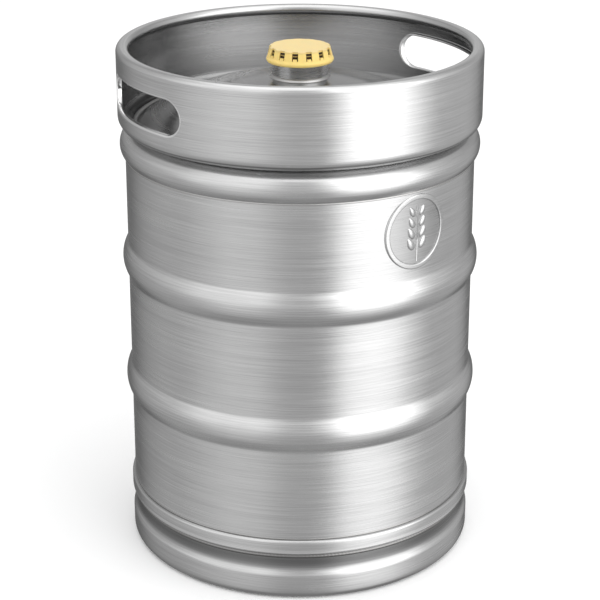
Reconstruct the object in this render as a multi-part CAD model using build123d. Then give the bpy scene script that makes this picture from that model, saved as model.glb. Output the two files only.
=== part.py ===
from build123d import *
import math
import os

# A half-barrel beer keg: a welded stainless vessel between two rolled chimes, with a neck,
# an extractor valve and its down tube inside, and a push-on dust cap over the neck.
# Origin: centre of the circle the foot stands on. +Z up, -Y front. Millimetres.

# Overall sizes
KEG_HEIGHT = 590.0
RIM_R = 205.0
BODY_R = 197.6
SHELL_GAUGE = 1.5
CHIME_GAUGE = 2.0

# Cylindrical body and its two rolling hoops
LOWER_SEAM_Z = 73.0
UPPER_SEAM_Z = 464.4
HOOP_LEVELS = (199.4, 345.6)
HOOP_CREST_R = 203.8
HOOP_ARC_R = 31.0
HOOP_FILLET_R = 8.6
SEAM_WIDTH = 1.6
SEAM_CROWN = 0.35

# Pressed medallion on the body's wall
BADGE_AZIMUTH = 39.0
BADGE_Z = 419.5
BADGE_R = 42.0
BADGE_RIM = 4.0
BADGE_RISE = 1.6
BADGE_FIELD_RISE = 0.5
KERNEL_LONG = 12.0
KERNEL_WIDE = 6.0
KERNEL_ROWS = 4
KERNEL_LEAN = 32.0
STEM_LENGTH = 56.0
STEM_WIDTH = 2.6

# Top head: a knuckle that stands out as the uppermost ring, then a dome up to the neck
TOP_KNUCKLE_R = 19.0
TOP_CREST_R = 203.6
TOP_DOME_R = 353.0
NECK_JOINT_Z = 551.5

# Bottom head: a square-shouldered ring, a shallow dome and a sump at the lowest point
BASE_RING_R = 201.0
BASE_RING_SHOULDER = 3.4
BASE_RING_LOW_Z = 59.0
BASE_KNUCKLE_R = 4.0
BOTTOM_DOME_R = 484.0
SUMP_R = 34.0
SUMP_SLOPE_R = 26.0
SUMP_DROP = 4.5

# Top chime: shoulder, wall with two hand slots, rolled rim with a narrow flat land
TOP_SHOULDER_R = 12.8
TOP_SHOULDER_Z = 511.8
TOP_FLANGE_END = 250.0
RIM_ROLL_R = 6.3
RIM_LAND = 2.0
TOP_WELD_LEG = 3.6
TOP_WELD_CROWN = 0.9
SLOT_AZIMUTHS = (-62.0, 118.0)
SLOT_LOW_Z = 524.5
SLOT_HIGH_Z = 562.5
SLOT_WIDTH = 166.0
SLOT_LIP = 2.4
SLOT_LIP_DEPTH = 6.0

# Bottom chime: rolled foot with a narrow flat land, wall, shoulder and a narrower neck
FOOT_R = 200.5
FOOT_ROLL_R = 8.5
FOOT_LAND = 2.0
FOOT_SHOULDER_Z = 27.0
FOOT_SHOULDER_R = 9.0
FOOT_NECK_R = 196.8
FOOT_HOLLOW_R = 9.0
FOOT_TOP_Z = 50.0

# Neck fitting: coupler bore, two bayonet lugs over a wider pocket, retaining groove and seal ledge
NECK_R = 31.5
NECK_TOP_Z = 583.4
NECK_FOOT_Z = 543.0
NECK_CHAMFER = 1.0
COUPLER_BORE_R = 27.5
POCKET_R = 28.0
LUG_TOP_Z = 573.4
LUG_HEIGHT = 4.0
LUG_BORE_R = 24.8
LUG_SPAN = 100.0
GROOVE_R = 29.2
GROOVE_Z = 561.0
GROOVE_HEIGHT = 2.0
LEDGE_Z = 556.0
THROAT_R = 25.0
NECK_BEAD = 2.7

# Extractor valve
SEAL_RING_HEIGHT = 2.0
FLANGE_R = 27.3
FLANGE_HEIGHT = 3.0
SLEEVE_R = 24.8
SLEEVE_BORE_R = 22.6
SLEEVE_FOOT_Z = 532.0
COLLAR_TOP_Z = 564.5
COLLAR_BORE_R = 17.0
COLLAR_SEAT_Z = 561.5
RETAINER_R = 29.0
RETAINER_BORE_R = 25.6
RETAINER_GAP = 26.0
GAS_SEAL_R = 19.3
GAS_SEAL_BORE_R = 7.4
GAS_SEAL_FOOT_Z = 554.0
BALL_SEAT_R = 9.2
BALL_SEAT_RISE = 2.0
BALL_R = 8.8
BALL_Z = 550.8
CUP_WALL = 1.0
CUP_FLOOR = 1.2
CUP_TOP_Z = 560.0

# Down tube, its wider head and the two springs
TUBE_HEAD_R = 11.5
TUBE_HEAD_FOOT_Z = 529.0
TUBE_R = 8.0
TUBE_TAPER_Z = 522.0
TUBE_FOOT_Z = 19.0
TUBE_WALL = 0.9
PERCH_Z = 530.0
PERCH_THICK = 1.2
PERCH_BORE_R = 3.5
PERCH_HOLE_R = 1.5
PERCH_HOLE_PCD = 14.2
BALL_SPRING_R = 5.0
BALL_SPRING_WIRE = 1.0
BALL_SPRING_TOP_Z = 542.8
BALL_SPRING_TURNS = 5
GAS_SPRING_R = 15.5
GAS_SPRING_WIRE = 2.2
GAS_SPRING_TURNS = 8
CAGE_BORE_R = 21.4
CAGE_FOOT_Z = 487.0
CAGE_TOP_Z = 540.0
CAGE_FLOOR = 1.5
CAGE_GUIDE_R = 8.3
CAGE_GUIDE_WALL = 1.5
CAGE_GUIDE_TOP_Z = 492.5
CAGE_WINDOW = (24.0, 15.0)
CAGE_WINDOW_Z = 512.0

# Dust cap
CAP_FOOT_Z = 568.8
CAP_TOP_Z = 585.5
CAP_FOOT_R = 36.9
CAP_BULGE_R = 37.7
CAP_BULGE_Z = 571.6
CAP_WAIST_R = 36.5
CAP_WAIST_Z = 577.0
CAP_TOP_R = 36.1
CAP_CORNER_R = 2.0
CAP_WALL = 1.8
CAP_WINDOWS = 14
CAP_FIRST_WINDOW = -9.0
CAP_WINDOW_WIDTH = 7.4
CAP_WINDOW_LOW_Z = 576.5
CAP_WINDOW_HIGH_Z = 584.5
CAP_WINDOW_FLOOR_R = 33.8
CAP_SLIT_WIDTH = 1.1
CAP_SLIT_DROP = 2.2
CAP_HOOK_R = 31.8
CAP_HOOK_WIDTH = 5.0
CAP_HOOK_HEIGHT = 1.6


# Helpers

def polar(radius, degrees, centre=(0.0, 0.0)):
    """A point of the section plane at an angle from the outward direction."""
    angle = math.radians(degrees)
    return (centre[0] + radius * math.cos(angle), centre[1] + radius * math.sin(angle))


def turned(outline):
    """Solid of revolution about the keg's axis of a closed (radius, height) outline."""
    return revolve(Plane.XZ * make_face(outline), Axis.Z)


def turned_points(*points):
    """Solid of revolution of a straight-sided (radius, height) outline."""
    return turned(Polyline(*points, close=True))


def sheet(edges, gauge, side=Side.LEFT):
    """Sheet-metal ring: the edges are its outer face and the gauge is laid on one side."""
    section = offset(Wire(edges), amount=gauge, side=side)
    return turned(section.wires()[0].edges())


def tube_between(inner, outer, low, high):
    """Plain ring between two radii and two heights."""
    return turned_points((inner, low), (outer, low), (outer, high), (inner, high))


def facing(azimuth, height):
    """Work plane on the axis that looks outwards; azimuth runs from the front towards +X."""
    angle = math.radians(azimuth)
    across = (math.cos(angle), math.sin(angle), 0)
    outward = (math.sin(angle), -math.cos(angle), 0)
    return Plane(origin=(0, 0, height), x_dir=across, z_dir=outward)


def punch(plane, shape, start, depth):
    """Prism of a sketch along a work plane's outward direction."""
    return extrude(plane.offset(start) * shape, depth)


def dome_point(radius, dome_r, centre_z, upwards=1):
    """Point of a spherical dome's section at a radius from the axis."""
    return (radius, centre_z + upwards * math.sqrt(dome_r ** 2 - radius ** 2))


def along_dome(start_r, end_r, dome_r, centre_z, upwards=1):
    """Arc of a dome's section between two radii."""
    stations = (start_r, (start_r + end_r) / 2, end_r)
    return ThreePointArc(*(dome_point(station, dome_r, centre_z, upwards) for station in stations))


# Vessel

def hoop_bend():
    """A hoop's centre radii for its fillets and crest, the angle between them and its half height."""
    foot = BODY_R + HOOP_FILLET_R
    crest = HOOP_CREST_R - HOOP_ARC_R
    reach = HOOP_ARC_R + HOOP_FILLET_R
    lean = math.acos((foot - crest) / reach)
    return foot, crest, math.degrees(lean), reach * math.sin(lean)


def hoop(level):
    """Rolling hoop outline: a convex crest blended into the wall by two concave fillets."""
    foot, crest, lean, rise = hoop_bend()
    return [
        CenterArc((foot, level - rise), HOOP_FILLET_R, 180, -lean),
        CenterArc((crest, level), HOOP_ARC_R, -lean, 2 * lean),
        CenterArc((foot, level + rise), HOOP_FILLET_R, 180 + lean, -lean),
    ]


def barley_ear(plane):
    """Barley ear relief: a stem with paired kernels leaning outwards and one at the tip."""
    start = BODY_R - SHELL_GAUGE / 2
    depth = BADGE_RISE + SHELL_GAUGE / 2
    pitch = STEM_LENGTH / (KERNEL_ROWS + 2)
    relief = punch(plane, Rectangle(STEM_WIDTH, STEM_LENGTH), start, depth)
    kernel = Ellipse(KERNEL_WIDE / 2, KERNEL_LONG / 2)
    relief += punch(plane, Pos(0, STEM_LENGTH / 2) * kernel, start, depth)
    for row in range(KERNEL_ROWS):
        height = STEM_LENGTH / 2 - (row + 1) * pitch
        for side in (-1, 1):
            place = Pos(side * KERNEL_WIDE, height) * Rot(0, 0, -side * KERNEL_LEAN)
            relief += punch(plane, place * kernel, start, depth)
    return relief


def medallion():
    """Round medallion: a raised rim and a barley ear that follow the wall's curve."""
    plane = facing(BADGE_AZIMUTH, BADGE_Z)
    start = BODY_R / 2
    rim = punch(plane, Circle(BADGE_R) - Circle(BADGE_R - BADGE_RIM), start, BODY_R)
    ear = barley_ear(plane)
    band = tube_between(
        BODY_R - SHELL_GAUGE / 2, BODY_R + BADGE_RISE, BADGE_Z - 2 * BADGE_R, BADGE_Z + 2 * BADGE_R
    )
    field = punch(plane, Circle(BADGE_R - BADGE_RIM / 2), start, BODY_R)
    low_band = tube_between(
        BODY_R - SHELL_GAUGE / 2, BODY_R + BADGE_FIELD_RISE, BADGE_Z - 2 * BADGE_R, BADGE_Z + 2 * BADGE_R
    )
    return ((rim + ear) & band) + (field & low_band)


def body_shell():
    """Cylinder between the two girth seams with its hoops and the pressed medallion."""
    half = hoop_bend()[-1]
    edges = []
    height = LOWER_SEAM_Z + SEAM_WIDTH
    for level in HOOP_LEVELS:
        edges.append(Line((BODY_R, height), (BODY_R, level - half)))
        edges += hoop(level)
        height = level + half
    edges.append(Line((BODY_R, height), (BODY_R, UPPER_SEAM_Z - SEAM_WIDTH)))
    return sheet(edges, SHELL_GAUGE) + medallion()


def top_knuckle():
    """Centre of the top knuckle, the dome's centre height, and the angle where they meet."""
    dome_z = NECK_JOINT_Z - math.sqrt(TOP_DOME_R ** 2 - NECK_R ** 2)
    centre_r = TOP_CREST_R - TOP_KNUCKLE_R
    rise = math.sqrt((TOP_DOME_R - TOP_KNUCKLE_R) ** 2 - centre_r ** 2)
    blend = math.degrees(math.atan2(rise, centre_r))
    return (centre_r, dome_z + rise), dome_z, blend


def top_head():
    """Dished top: knuckle ring, dome and the hole that the neck stands in."""
    knuckle, dome_z, blend = top_knuckle()
    start = -math.degrees(math.acos((BODY_R - knuckle[0]) / TOP_KNUCKLE_R))
    neck_edge = math.degrees(math.acos(NECK_R / TOP_DOME_R))
    edges = [
        CenterArc(knuckle, TOP_KNUCKLE_R, start, blend - start),
        CenterArc((0, dome_z), TOP_DOME_R, blend, neck_edge - blend),
    ]
    shell = sheet(edges, SHELL_GAUGE)
    return shell - Cylinder(NECK_R, KEG_HEIGHT, align=(Align.CENTER, Align.CENTER, Align.MIN))


def base_knuckle():
    """Centre of the bottom knuckle, the dome's centre height, and the angle where they meet."""
    centre = (BASE_RING_R - BASE_KNUCKLE_R, BASE_RING_LOW_Z)
    reach = BOTTOM_DOME_R - BASE_KNUCKLE_R
    drop = math.sqrt(reach ** 2 - centre[0] ** 2)
    blend = -math.degrees(math.atan2(drop, centre[0]))
    return centre, BASE_RING_LOW_Z + drop, blend


def bottom_head():
    """Dished bottom: square-shouldered ring, shallow dome and sump."""
    centre, dome_z, blend = base_knuckle()
    shoulder = (BASE_RING_R - BASE_RING_SHOULDER, LOWER_SEAM_Z - BASE_RING_SHOULDER)
    sump_edge = -math.degrees(math.acos(SUMP_R / BOTTOM_DOME_R))
    rim = polar(BOTTOM_DOME_R, sump_edge, (0, dome_z))
    floor_z = rim[1] - SUMP_DROP
    edges = [
        CenterArc(shoulder, BASE_RING_SHOULDER, 90, -90),
        Line((BASE_RING_R, shoulder[1]), (BASE_RING_R, BASE_RING_LOW_Z)),
        CenterArc(centre, BASE_KNUCKLE_R, 0, blend),
        CenterArc((0, dome_z), BOTTOM_DOME_R, blend, sump_edge - blend),
        Line(rim, (SUMP_SLOPE_R, floor_z)),
        Line((SUMP_SLOPE_R, floor_z), (0, floor_z)),
    ]
    return sheet(edges, SHELL_GAUGE, Side.RIGHT)


def upper_girth_weld():
    """Bead that closes the wedge between the cylinder's top edge and the top head."""
    knuckle = top_knuckle()[0]
    start = -math.degrees(math.acos((BODY_R - knuckle[0]) / TOP_KNUCKLE_R))
    head_inner = polar(TOP_KNUCKLE_R - SHELL_GAUGE, start, knuckle)
    low = UPPER_SEAM_Z - SEAM_WIDTH
    outer = ThreePointArc(
        (BODY_R, low), (BODY_R + SEAM_CROWN, UPPER_SEAM_Z - SEAM_WIDTH / 2), (BODY_R, UPPER_SEAM_Z)
    )
    inner = Polyline((BODY_R, UPPER_SEAM_Z), head_inner, (BODY_R - SHELL_GAUGE, low), (BODY_R, low))
    return turned([outer] + list(inner.edges()))


def lower_girth_weld():
    """Bead between the cylinder's bottom edge and the bottom head's shoulder."""
    high = LOWER_SEAM_Z + SEAM_WIDTH
    outer = ThreePointArc(
        (BODY_R, LOWER_SEAM_Z), (BODY_R + SEAM_CROWN, LOWER_SEAM_Z + SEAM_WIDTH / 2), (BODY_R, high)
    )
    inner = Polyline(
        (BODY_R, high), (BODY_R - SHELL_GAUGE, high), (BODY_R - SHELL_GAUGE, LOWER_SEAM_Z), (BODY_R, LOWER_SEAM_Z)
    )
    return turned([outer] + list(inner.edges()))


# Chimes

def slot_outline(growth=0.0):
    """Hand slot seen from outside, grown evenly by a margin."""
    height = SLOT_HIGH_Z - SLOT_LOW_Z
    return SlotOverall(SLOT_WIDTH + 2 * growth, height + 2 * growth)


def top_chime():
    """Skirt above the vessel: flange, shoulder, wall, rolled rim, hand slots with turned-in lips."""
    shoulder = (RIM_R - TOP_SHOULDER_R, TOP_SHOULDER_Z)
    roll_z = KEG_HEIGHT - RIM_ROLL_R
    outer_roll = (RIM_R - RIM_ROLL_R, roll_z)
    inner_roll = (outer_roll[0] - RIM_LAND, roll_z)
    edges = [
        CenterArc(shoulder, TOP_SHOULDER_R, TOP_FLANGE_END, 360 - TOP_FLANGE_END),
        Line((RIM_R, TOP_SHOULDER_Z), (RIM_R, roll_z)),
        CenterArc(outer_roll, RIM_ROLL_R, 0, 90),
        Line((outer_roll[0], KEG_HEIGHT), (inner_roll[0], KEG_HEIGHT)),
        CenterArc(inner_roll, RIM_ROLL_R, 90, 180),
    ]
    chime = sheet(edges, CHIME_GAUGE)
    low = SLOT_LOW_Z - 2 * SLOT_LIP
    high = SLOT_HIGH_Z + 2 * SLOT_LIP
    lip_band = tube_between(RIM_R - SLOT_LIP_DEPTH, RIM_R - CHIME_GAUGE / 2, low, high)
    middle = (SLOT_LOW_Z + SLOT_HIGH_Z) / 2
    for azimuth in SLOT_AZIMUTHS:
        plane = facing(azimuth, middle)
        chime += punch(plane, slot_outline(SLOT_LIP), BODY_R / 2, BODY_R) & lip_band
    for azimuth in SLOT_AZIMUTHS:
        chime -= punch(facing(azimuth, middle), slot_outline(), BODY_R / 2, BODY_R)
    return chime


def bottom_chime():
    """Foot skirt: rolled foot, wall, shoulder and the narrower neck that meets the bottom head."""
    inner_roll = (FOOT_R - FOOT_ROLL_R - FOOT_LAND, FOOT_ROLL_R)
    outer_roll = (FOOT_R - FOOT_ROLL_R, FOOT_ROLL_R)
    shoulder = (FOOT_R - FOOT_SHOULDER_R, FOOT_SHOULDER_Z)
    reach = FOOT_SHOULDER_R + FOOT_HOLLOW_R
    across = FOOT_NECK_R + FOOT_HOLLOW_R - shoulder[0]
    bend = math.degrees(math.acos(across / reach))
    hollow = (FOOT_NECK_R + FOOT_HOLLOW_R, FOOT_SHOULDER_Z + math.sqrt(reach ** 2 - across ** 2))
    edges = [
        CenterArc(inner_roll, FOOT_ROLL_R, 90, 180),
        Line((inner_roll[0], 0), (outer_roll[0], 0)),
        CenterArc(outer_roll, FOOT_ROLL_R, 270, 90),
        Line((FOOT_R, FOOT_ROLL_R), (FOOT_R, FOOT_SHOULDER_Z)),
        CenterArc(shoulder, FOOT_SHOULDER_R, 0, bend),
        CenterArc(hollow, FOOT_HOLLOW_R, 180 + bend, -bend),
        Line((FOOT_NECK_R, hollow[1]), (FOOT_NECK_R, FOOT_TOP_Z)),
    ]
    return sheet(edges, CHIME_GAUGE)


def top_chime_weld():
    """Bead from the dome up over the inner end of the top chime's flange."""
    shoulder = (RIM_R - TOP_SHOULDER_R, TOP_SHOULDER_Z)
    dome_z = top_knuckle()[1]
    flange_low = polar(TOP_SHOULDER_R, TOP_FLANGE_END, shoulder)
    flange_high = polar(TOP_SHOULDER_R - CHIME_GAUGE, TOP_FLANGE_END, shoulder)
    toe = dome_point(flange_low[0] - TOP_WELD_LEG, TOP_DOME_R, dome_z)
    heel = dome_point(flange_low[0], TOP_DOME_R, dome_z)
    run = (flange_high[0] - toe[0], flange_high[1] - toe[1])
    crown = [
        (
            toe[0] + share * run[0] - 2 * TOP_WELD_CROWN * share * (1 - share),
            toe[1] + share * run[1] + 4 * TOP_WELD_CROWN * share * (1 - share),
        )
        for share in (0.2, 0.5, 0.8)
    ]
    root = along_dome(toe[0], heel[0], TOP_DOME_R, dome_z)
    faces = Polyline(heel, flange_low, flange_high, *reversed(crown), toe)
    return turned([root] + list(faces.edges()))


def bottom_chime_weld():
    """Bead between the bottom chime's top edge and the underside of the bottom head."""
    dome_z = base_knuckle()[1]
    inner_r = FOOT_NECK_R - CHIME_GAUGE
    outer_top = dome_point(FOOT_NECK_R, BOTTOM_DOME_R, dome_z, -1)
    inner_top = dome_point(inner_r, BOTTOM_DOME_R, dome_z, -1)
    middle = (FOOT_TOP_Z + outer_top[1]) / 2
    face = ThreePointArc((FOOT_NECK_R, FOOT_TOP_Z), (FOOT_NECK_R + SEAM_WIDTH, middle), outer_top)
    root = along_dome(FOOT_NECK_R, inner_r, BOTTOM_DOME_R, dome_z, -1)
    straight = Polyline(inner_top, (inner_r, FOOT_TOP_Z), (FOOT_NECK_R, FOOT_TOP_Z))
    return turned([face, root] + list(straight.edges()))


# Neck and extractor valve

def neck_fitting():
    """Machined boss: coupler bore, bayonet lugs in a pocket, retaining groove, seal ledge, throat."""
    boss = turned_points(
        (THROAT_R, NECK_FOOT_Z),
        (NECK_R, NECK_FOOT_Z),
        (NECK_R, NECK_TOP_Z - NECK_CHAMFER),
        (NECK_R - NECK_CHAMFER, NECK_TOP_Z),
        (COUPLER_BORE_R + NECK_CHAMFER, NECK_TOP_Z),
        (COUPLER_BORE_R, NECK_TOP_Z - NECK_CHAMFER),
        (COUPLER_BORE_R, LUG_TOP_Z),
        (POCKET_R, LUG_TOP_Z),
        (POCKET_R, GROOVE_Z + GROOVE_HEIGHT),
        (GROOVE_R, GROOVE_Z + GROOVE_HEIGHT),
        (GROOVE_R, GROOVE_Z),
        (POCKET_R, GROOVE_Z),
        (POCKET_R, LEDGE_Z),
        (THROAT_R, LEDGE_Z),
    )
    ring = tube_between(LUG_BORE_R, POCKET_R, LUG_TOP_Z - LUG_HEIGHT, LUG_TOP_Z)
    gap_half = math.radians((180 - LUG_SPAN) / 2)
    gap_width = 2 * COUPLER_BORE_R * math.sin(gap_half)
    ring -= Pos(0, 0, LUG_TOP_Z - LUG_HEIGHT / 2) * Box(3 * COUPLER_BORE_R, gap_width, 2 * LUG_HEIGHT)
    return boss + ring


def neck_weld():
    """Fillet bead round the neck where it meets the dome."""
    dome_z = top_knuckle()[1]
    toe = dome_point(NECK_R + NECK_BEAD, TOP_DOME_R, dome_z)
    top = (NECK_R, NECK_JOINT_Z + NECK_BEAD)
    crown = (NECK_R + 0.6 * NECK_BEAD, NECK_JOINT_Z + 0.6 * NECK_BEAD)
    root = along_dome(NECK_R, toe[0], TOP_DOME_R, dome_z)
    return turned([Line(top, (NECK_R, NECK_JOINT_Z)), root, ThreePointArc(toe, crown, top)])


def neck_seal():
    """Flat ring seal on the neck's ledge."""
    return tube_between(THROAT_R, FLANGE_R, LEDGE_Z, LEDGE_Z + SEAL_RING_HEIGHT)


def valve_body():
    """Valve sleeve with its mounting flange and the inward collar that the gas seal closes on."""
    flange_z = LEDGE_Z + SEAL_RING_HEIGHT
    flange_top = flange_z + FLANGE_HEIGHT
    edge = NECK_CHAMFER
    return turned_points(
        (SLEEVE_BORE_R, SLEEVE_FOOT_Z),
        (SLEEVE_R, SLEEVE_FOOT_Z),
        (SLEEVE_R, flange_z),
        (FLANGE_R, flange_z),
        (FLANGE_R, flange_top),
        (SLEEVE_R, flange_top),
        (SLEEVE_R, COLLAR_TOP_Z - edge),
        (SLEEVE_R - edge, COLLAR_TOP_Z),
        (COLLAR_BORE_R + edge, COLLAR_TOP_Z),
        (COLLAR_BORE_R, COLLAR_TOP_Z - edge),
        (COLLAR_BORE_R, COLLAR_SEAT_Z),
        (SLEEVE_BORE_R, COLLAR_SEAT_Z),
    )


def retaining_ring():
    """Open snap ring that locks the valve's flange under the neck's groove."""
    ring = tube_between(RETAINER_BORE_R, RETAINER_R, GROOVE_Z, GROOVE_Z + 0.9 * GROOVE_HEIGHT)
    gap = 2 * RETAINER_R * math.sin(math.radians(RETAINER_GAP / 2))
    slit = Pos(0, RETAINER_R, GROOVE_Z) * Box(gap, RETAINER_R, 4 * GROOVE_HEIGHT)
    return ring - slit


def gas_seal():
    """Rubber valve ring: its top closes on the collar and its bore is the ball's seat."""
    top = COLLAR_SEAT_Z - 0.1
    return turned_points(
        (BALL_SEAT_R, GAS_SEAL_FOOT_Z),
        (GAS_SEAL_R, GAS_SEAL_FOOT_Z),
        (GAS_SEAL_R, top),
        (GAS_SEAL_BORE_R, top),
        (GAS_SEAL_BORE_R, GAS_SEAL_FOOT_Z + BALL_SEAT_RISE),
    )


def seal_cup():
    """Steel cup that carries the rubber ring and takes the gas spring's push."""
    return turned_points(
        (TUBE_HEAD_R, GAS_SEAL_FOOT_Z - CUP_FLOOR),
        (GAS_SEAL_R + CUP_WALL, GAS_SEAL_FOOT_Z - CUP_FLOOR),
        (GAS_SEAL_R + CUP_WALL, CUP_TOP_Z),
        (GAS_SEAL_R, CUP_TOP_Z),
        (GAS_SEAL_R, GAS_SEAL_FOOT_Z),
        (TUBE_HEAD_R, GAS_SEAL_FOOT_Z),
    )


def down_tube():
    """Beer tube from the ball's chamber down to the sump."""
    outline = Polyline(
        (TUBE_HEAD_R, GAS_SEAL_FOOT_Z),
        (TUBE_HEAD_R, TUBE_HEAD_FOOT_Z),
        (TUBE_R, TUBE_TAPER_Z),
        (TUBE_R, TUBE_FOOT_Z),
    )
    return sheet(outline.edges(), TUBE_WALL, Side.RIGHT)


def ball_spring_perch():
    """Drilled washer inside the tube's head that the ball's spring stands on."""
    bore = TUBE_HEAD_R - TUBE_WALL
    perch = tube_between(PERCH_BORE_R, bore, PERCH_Z, PERCH_Z + PERCH_THICK)
    for place in PolarLocations(PERCH_HOLE_PCD / 2, 6):
        perch -= Pos(0, 0, PERCH_Z) * place * Cylinder(PERCH_HOLE_R, 4 * PERCH_THICK)
    return perch


def coil_spring(mean_r, wire, low, high, turns):
    """Helical compression spring whose wire's centre line runs between two heights."""
    path = Pos(0, 0, low) * Helix((high - low) / turns, high - low, mean_r)
    section = Plane(origin=path @ 0, z_dir=path % 0) * Circle(wire / 2)
    return sweep(section, path)


def ball_spring():
    """Light spring that holds the ball up on its seat."""
    low = PERCH_Z + PERCH_THICK + BALL_SPRING_WIRE / 2
    return coil_spring(BALL_SPRING_R, BALL_SPRING_WIRE, low, BALL_SPRING_TOP_Z, BALL_SPRING_TURNS)


def gas_spring():
    """Stronger spring between the cage's floor and the seal cup."""
    low = CAGE_FOOT_Z + CAGE_FLOOR + GAS_SPRING_WIRE / 2
    high = GAS_SEAL_FOOT_Z - CUP_FLOOR - GAS_SPRING_WIRE / 2
    return coil_spring(GAS_SPRING_R, GAS_SPRING_WIRE, low, high, GAS_SPRING_TURNS)


def spring_cage():
    """Cage pressed into the valve sleeve: windows for the gas, floor and guide for the tube."""
    floor_top = CAGE_FOOT_Z + CAGE_FLOOR
    cage = turned_points(
        (CAGE_GUIDE_R, CAGE_FOOT_Z),
        (SLEEVE_BORE_R, CAGE_FOOT_Z),
        (SLEEVE_BORE_R, CAGE_TOP_Z),
        (CAGE_BORE_R, CAGE_TOP_Z),
        (CAGE_BORE_R, floor_top),
        (CAGE_GUIDE_R + CAGE_GUIDE_WALL, floor_top),
        (CAGE_GUIDE_R + CAGE_GUIDE_WALL, CAGE_GUIDE_TOP_Z),
        (CAGE_GUIDE_R, CAGE_GUIDE_TOP_Z),
    )
    window = Rot(0, 0, 90) * SlotOverall(*CAGE_WINDOW)
    for azimuth in range(45, 360, 90):
        cage -= punch(facing(azimuth, CAGE_WINDOW_Z), window, CAGE_BORE_R - CAGE_FLOOR, SLEEVE_BORE_R)
    return cage


# Dust cap

def cap_blank():
    """Cap before its windows are cut: rounded lid, side wall and a bulged lower rim."""
    edges = [
        ThreePointArc((CAP_FOOT_R, CAP_FOOT_Z), (CAP_BULGE_R, CAP_BULGE_Z), (CAP_WAIST_R, CAP_WAIST_Z)),
        Line((CAP_WAIST_R, CAP_WAIST_Z), (CAP_TOP_R, CAP_TOP_Z - CAP_CORNER_R)),
        ThreePointArc(
            (CAP_TOP_R, CAP_TOP_Z - CAP_CORNER_R),
            polar(CAP_CORNER_R, 45, (CAP_TOP_R - CAP_CORNER_R, CAP_TOP_Z - CAP_CORNER_R)),
            (CAP_TOP_R - CAP_CORNER_R, CAP_TOP_Z),
        ),
        Line((CAP_TOP_R - CAP_CORNER_R, CAP_TOP_Z), (0, CAP_TOP_Z)),
    ]
    return sheet(edges, CAP_WALL)


def cap_window(plane):
    """One snap window with its two relief slits."""
    depth = CAP_BULGE_R
    height = CAP_WINDOW_HIGH_Z - CAP_WINDOW_LOW_Z
    hole = punch(plane, Pos(0, height / 2) * Rectangle(CAP_WINDOW_WIDTH, height), CAP_WINDOW_FLOOR_R, depth)
    for side in (-1, 1):
        across = side * (CAP_WINDOW_WIDTH - CAP_SLIT_WIDTH) / 2
        slit = Pos(across, -CAP_SLIT_DROP / 2) * Rectangle(CAP_SLIT_WIDTH, 2 * CAP_SLIT_DROP)
        hole += punch(plane, slit, CAP_HOOK_R, depth)
    return hole


def dust_cap():
    """Push-on cap: windows round its upper edge, each with a hook that reaches in to the neck."""
    cap = cap_blank()
    hook_band = tube_between(
        CAP_HOOK_R, CAP_WAIST_R - CAP_WALL / 2, CAP_WINDOW_LOW_Z - CAP_HOOK_HEIGHT, CAP_WINDOW_LOW_Z
    )
    step = 360 / CAP_WINDOWS
    for index in range(CAP_WINDOWS):
        plane = facing(CAP_FIRST_WINDOW + index * step, CAP_WINDOW_LOW_Z)
        hook = punch(plane, Rectangle(CAP_HOOK_WIDTH, 4 * CAP_HOOK_HEIGHT), CAP_HOOK_R / 2, CAP_HOOK_R)
        cap += hook & hook_band
        cap -= cap_window(plane)
    return cap


NODES = {
    "body_shell": body_shell,
    "top_head": top_head,
    "bottom_head": bottom_head,
    "upper_girth_weld": upper_girth_weld,
    "lower_girth_weld": lower_girth_weld,
    "top_chime": top_chime,
    "bottom_chime": bottom_chime,
    "top_chime_weld": top_chime_weld,
    "bottom_chime_weld": bottom_chime_weld,
    "neck_fitting": neck_fitting,
    "neck_weld": neck_weld,
    "neck_seal": neck_seal,
    "valve_body": valve_body,
    "retaining_ring": retaining_ring,
    "gas_seal": gas_seal,
    "seal_cup": seal_cup,
    "down_tube": down_tube,
    "ball_spring_perch": ball_spring_perch,
    "ball_spring": ball_spring,
    "gas_spring": gas_spring,
    "spring_cage": spring_cage,
    "dust_cap": dust_cap,
}


def main():
    os.makedirs("parts", exist_ok=True)
    for name, build in NODES.items():
        export_step(build(), f"parts/{name}.step")
    export_step(Pos(0, 0, BALL_Z) * Sphere(BALL_R), "parts/beer_ball.step")


main()
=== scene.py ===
import bmesh
import bpy
import math
import numpy as np
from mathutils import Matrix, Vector

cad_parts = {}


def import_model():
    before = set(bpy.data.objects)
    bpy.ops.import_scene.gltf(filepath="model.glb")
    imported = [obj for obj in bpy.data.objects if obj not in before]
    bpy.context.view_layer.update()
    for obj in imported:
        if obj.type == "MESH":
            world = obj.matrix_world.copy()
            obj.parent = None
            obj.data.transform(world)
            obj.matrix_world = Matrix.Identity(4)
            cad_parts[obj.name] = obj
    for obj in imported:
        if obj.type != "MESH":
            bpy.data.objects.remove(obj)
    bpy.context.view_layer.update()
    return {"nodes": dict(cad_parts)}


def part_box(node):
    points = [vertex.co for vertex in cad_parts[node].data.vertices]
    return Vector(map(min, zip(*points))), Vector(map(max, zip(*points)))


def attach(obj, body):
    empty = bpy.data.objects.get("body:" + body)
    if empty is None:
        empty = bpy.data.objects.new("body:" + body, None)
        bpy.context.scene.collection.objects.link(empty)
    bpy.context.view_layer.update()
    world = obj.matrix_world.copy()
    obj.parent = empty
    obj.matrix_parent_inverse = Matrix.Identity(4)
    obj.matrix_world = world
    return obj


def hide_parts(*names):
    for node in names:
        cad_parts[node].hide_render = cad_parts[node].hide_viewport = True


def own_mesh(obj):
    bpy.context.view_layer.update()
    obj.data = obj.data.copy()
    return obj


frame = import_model()

# Beer keg looks. Sections are written in millimetres as (radius, height) and turned about +Z;
# every finished mesh is in metres in the model's own frame, with -Y to the front.
MM = 0.001

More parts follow.
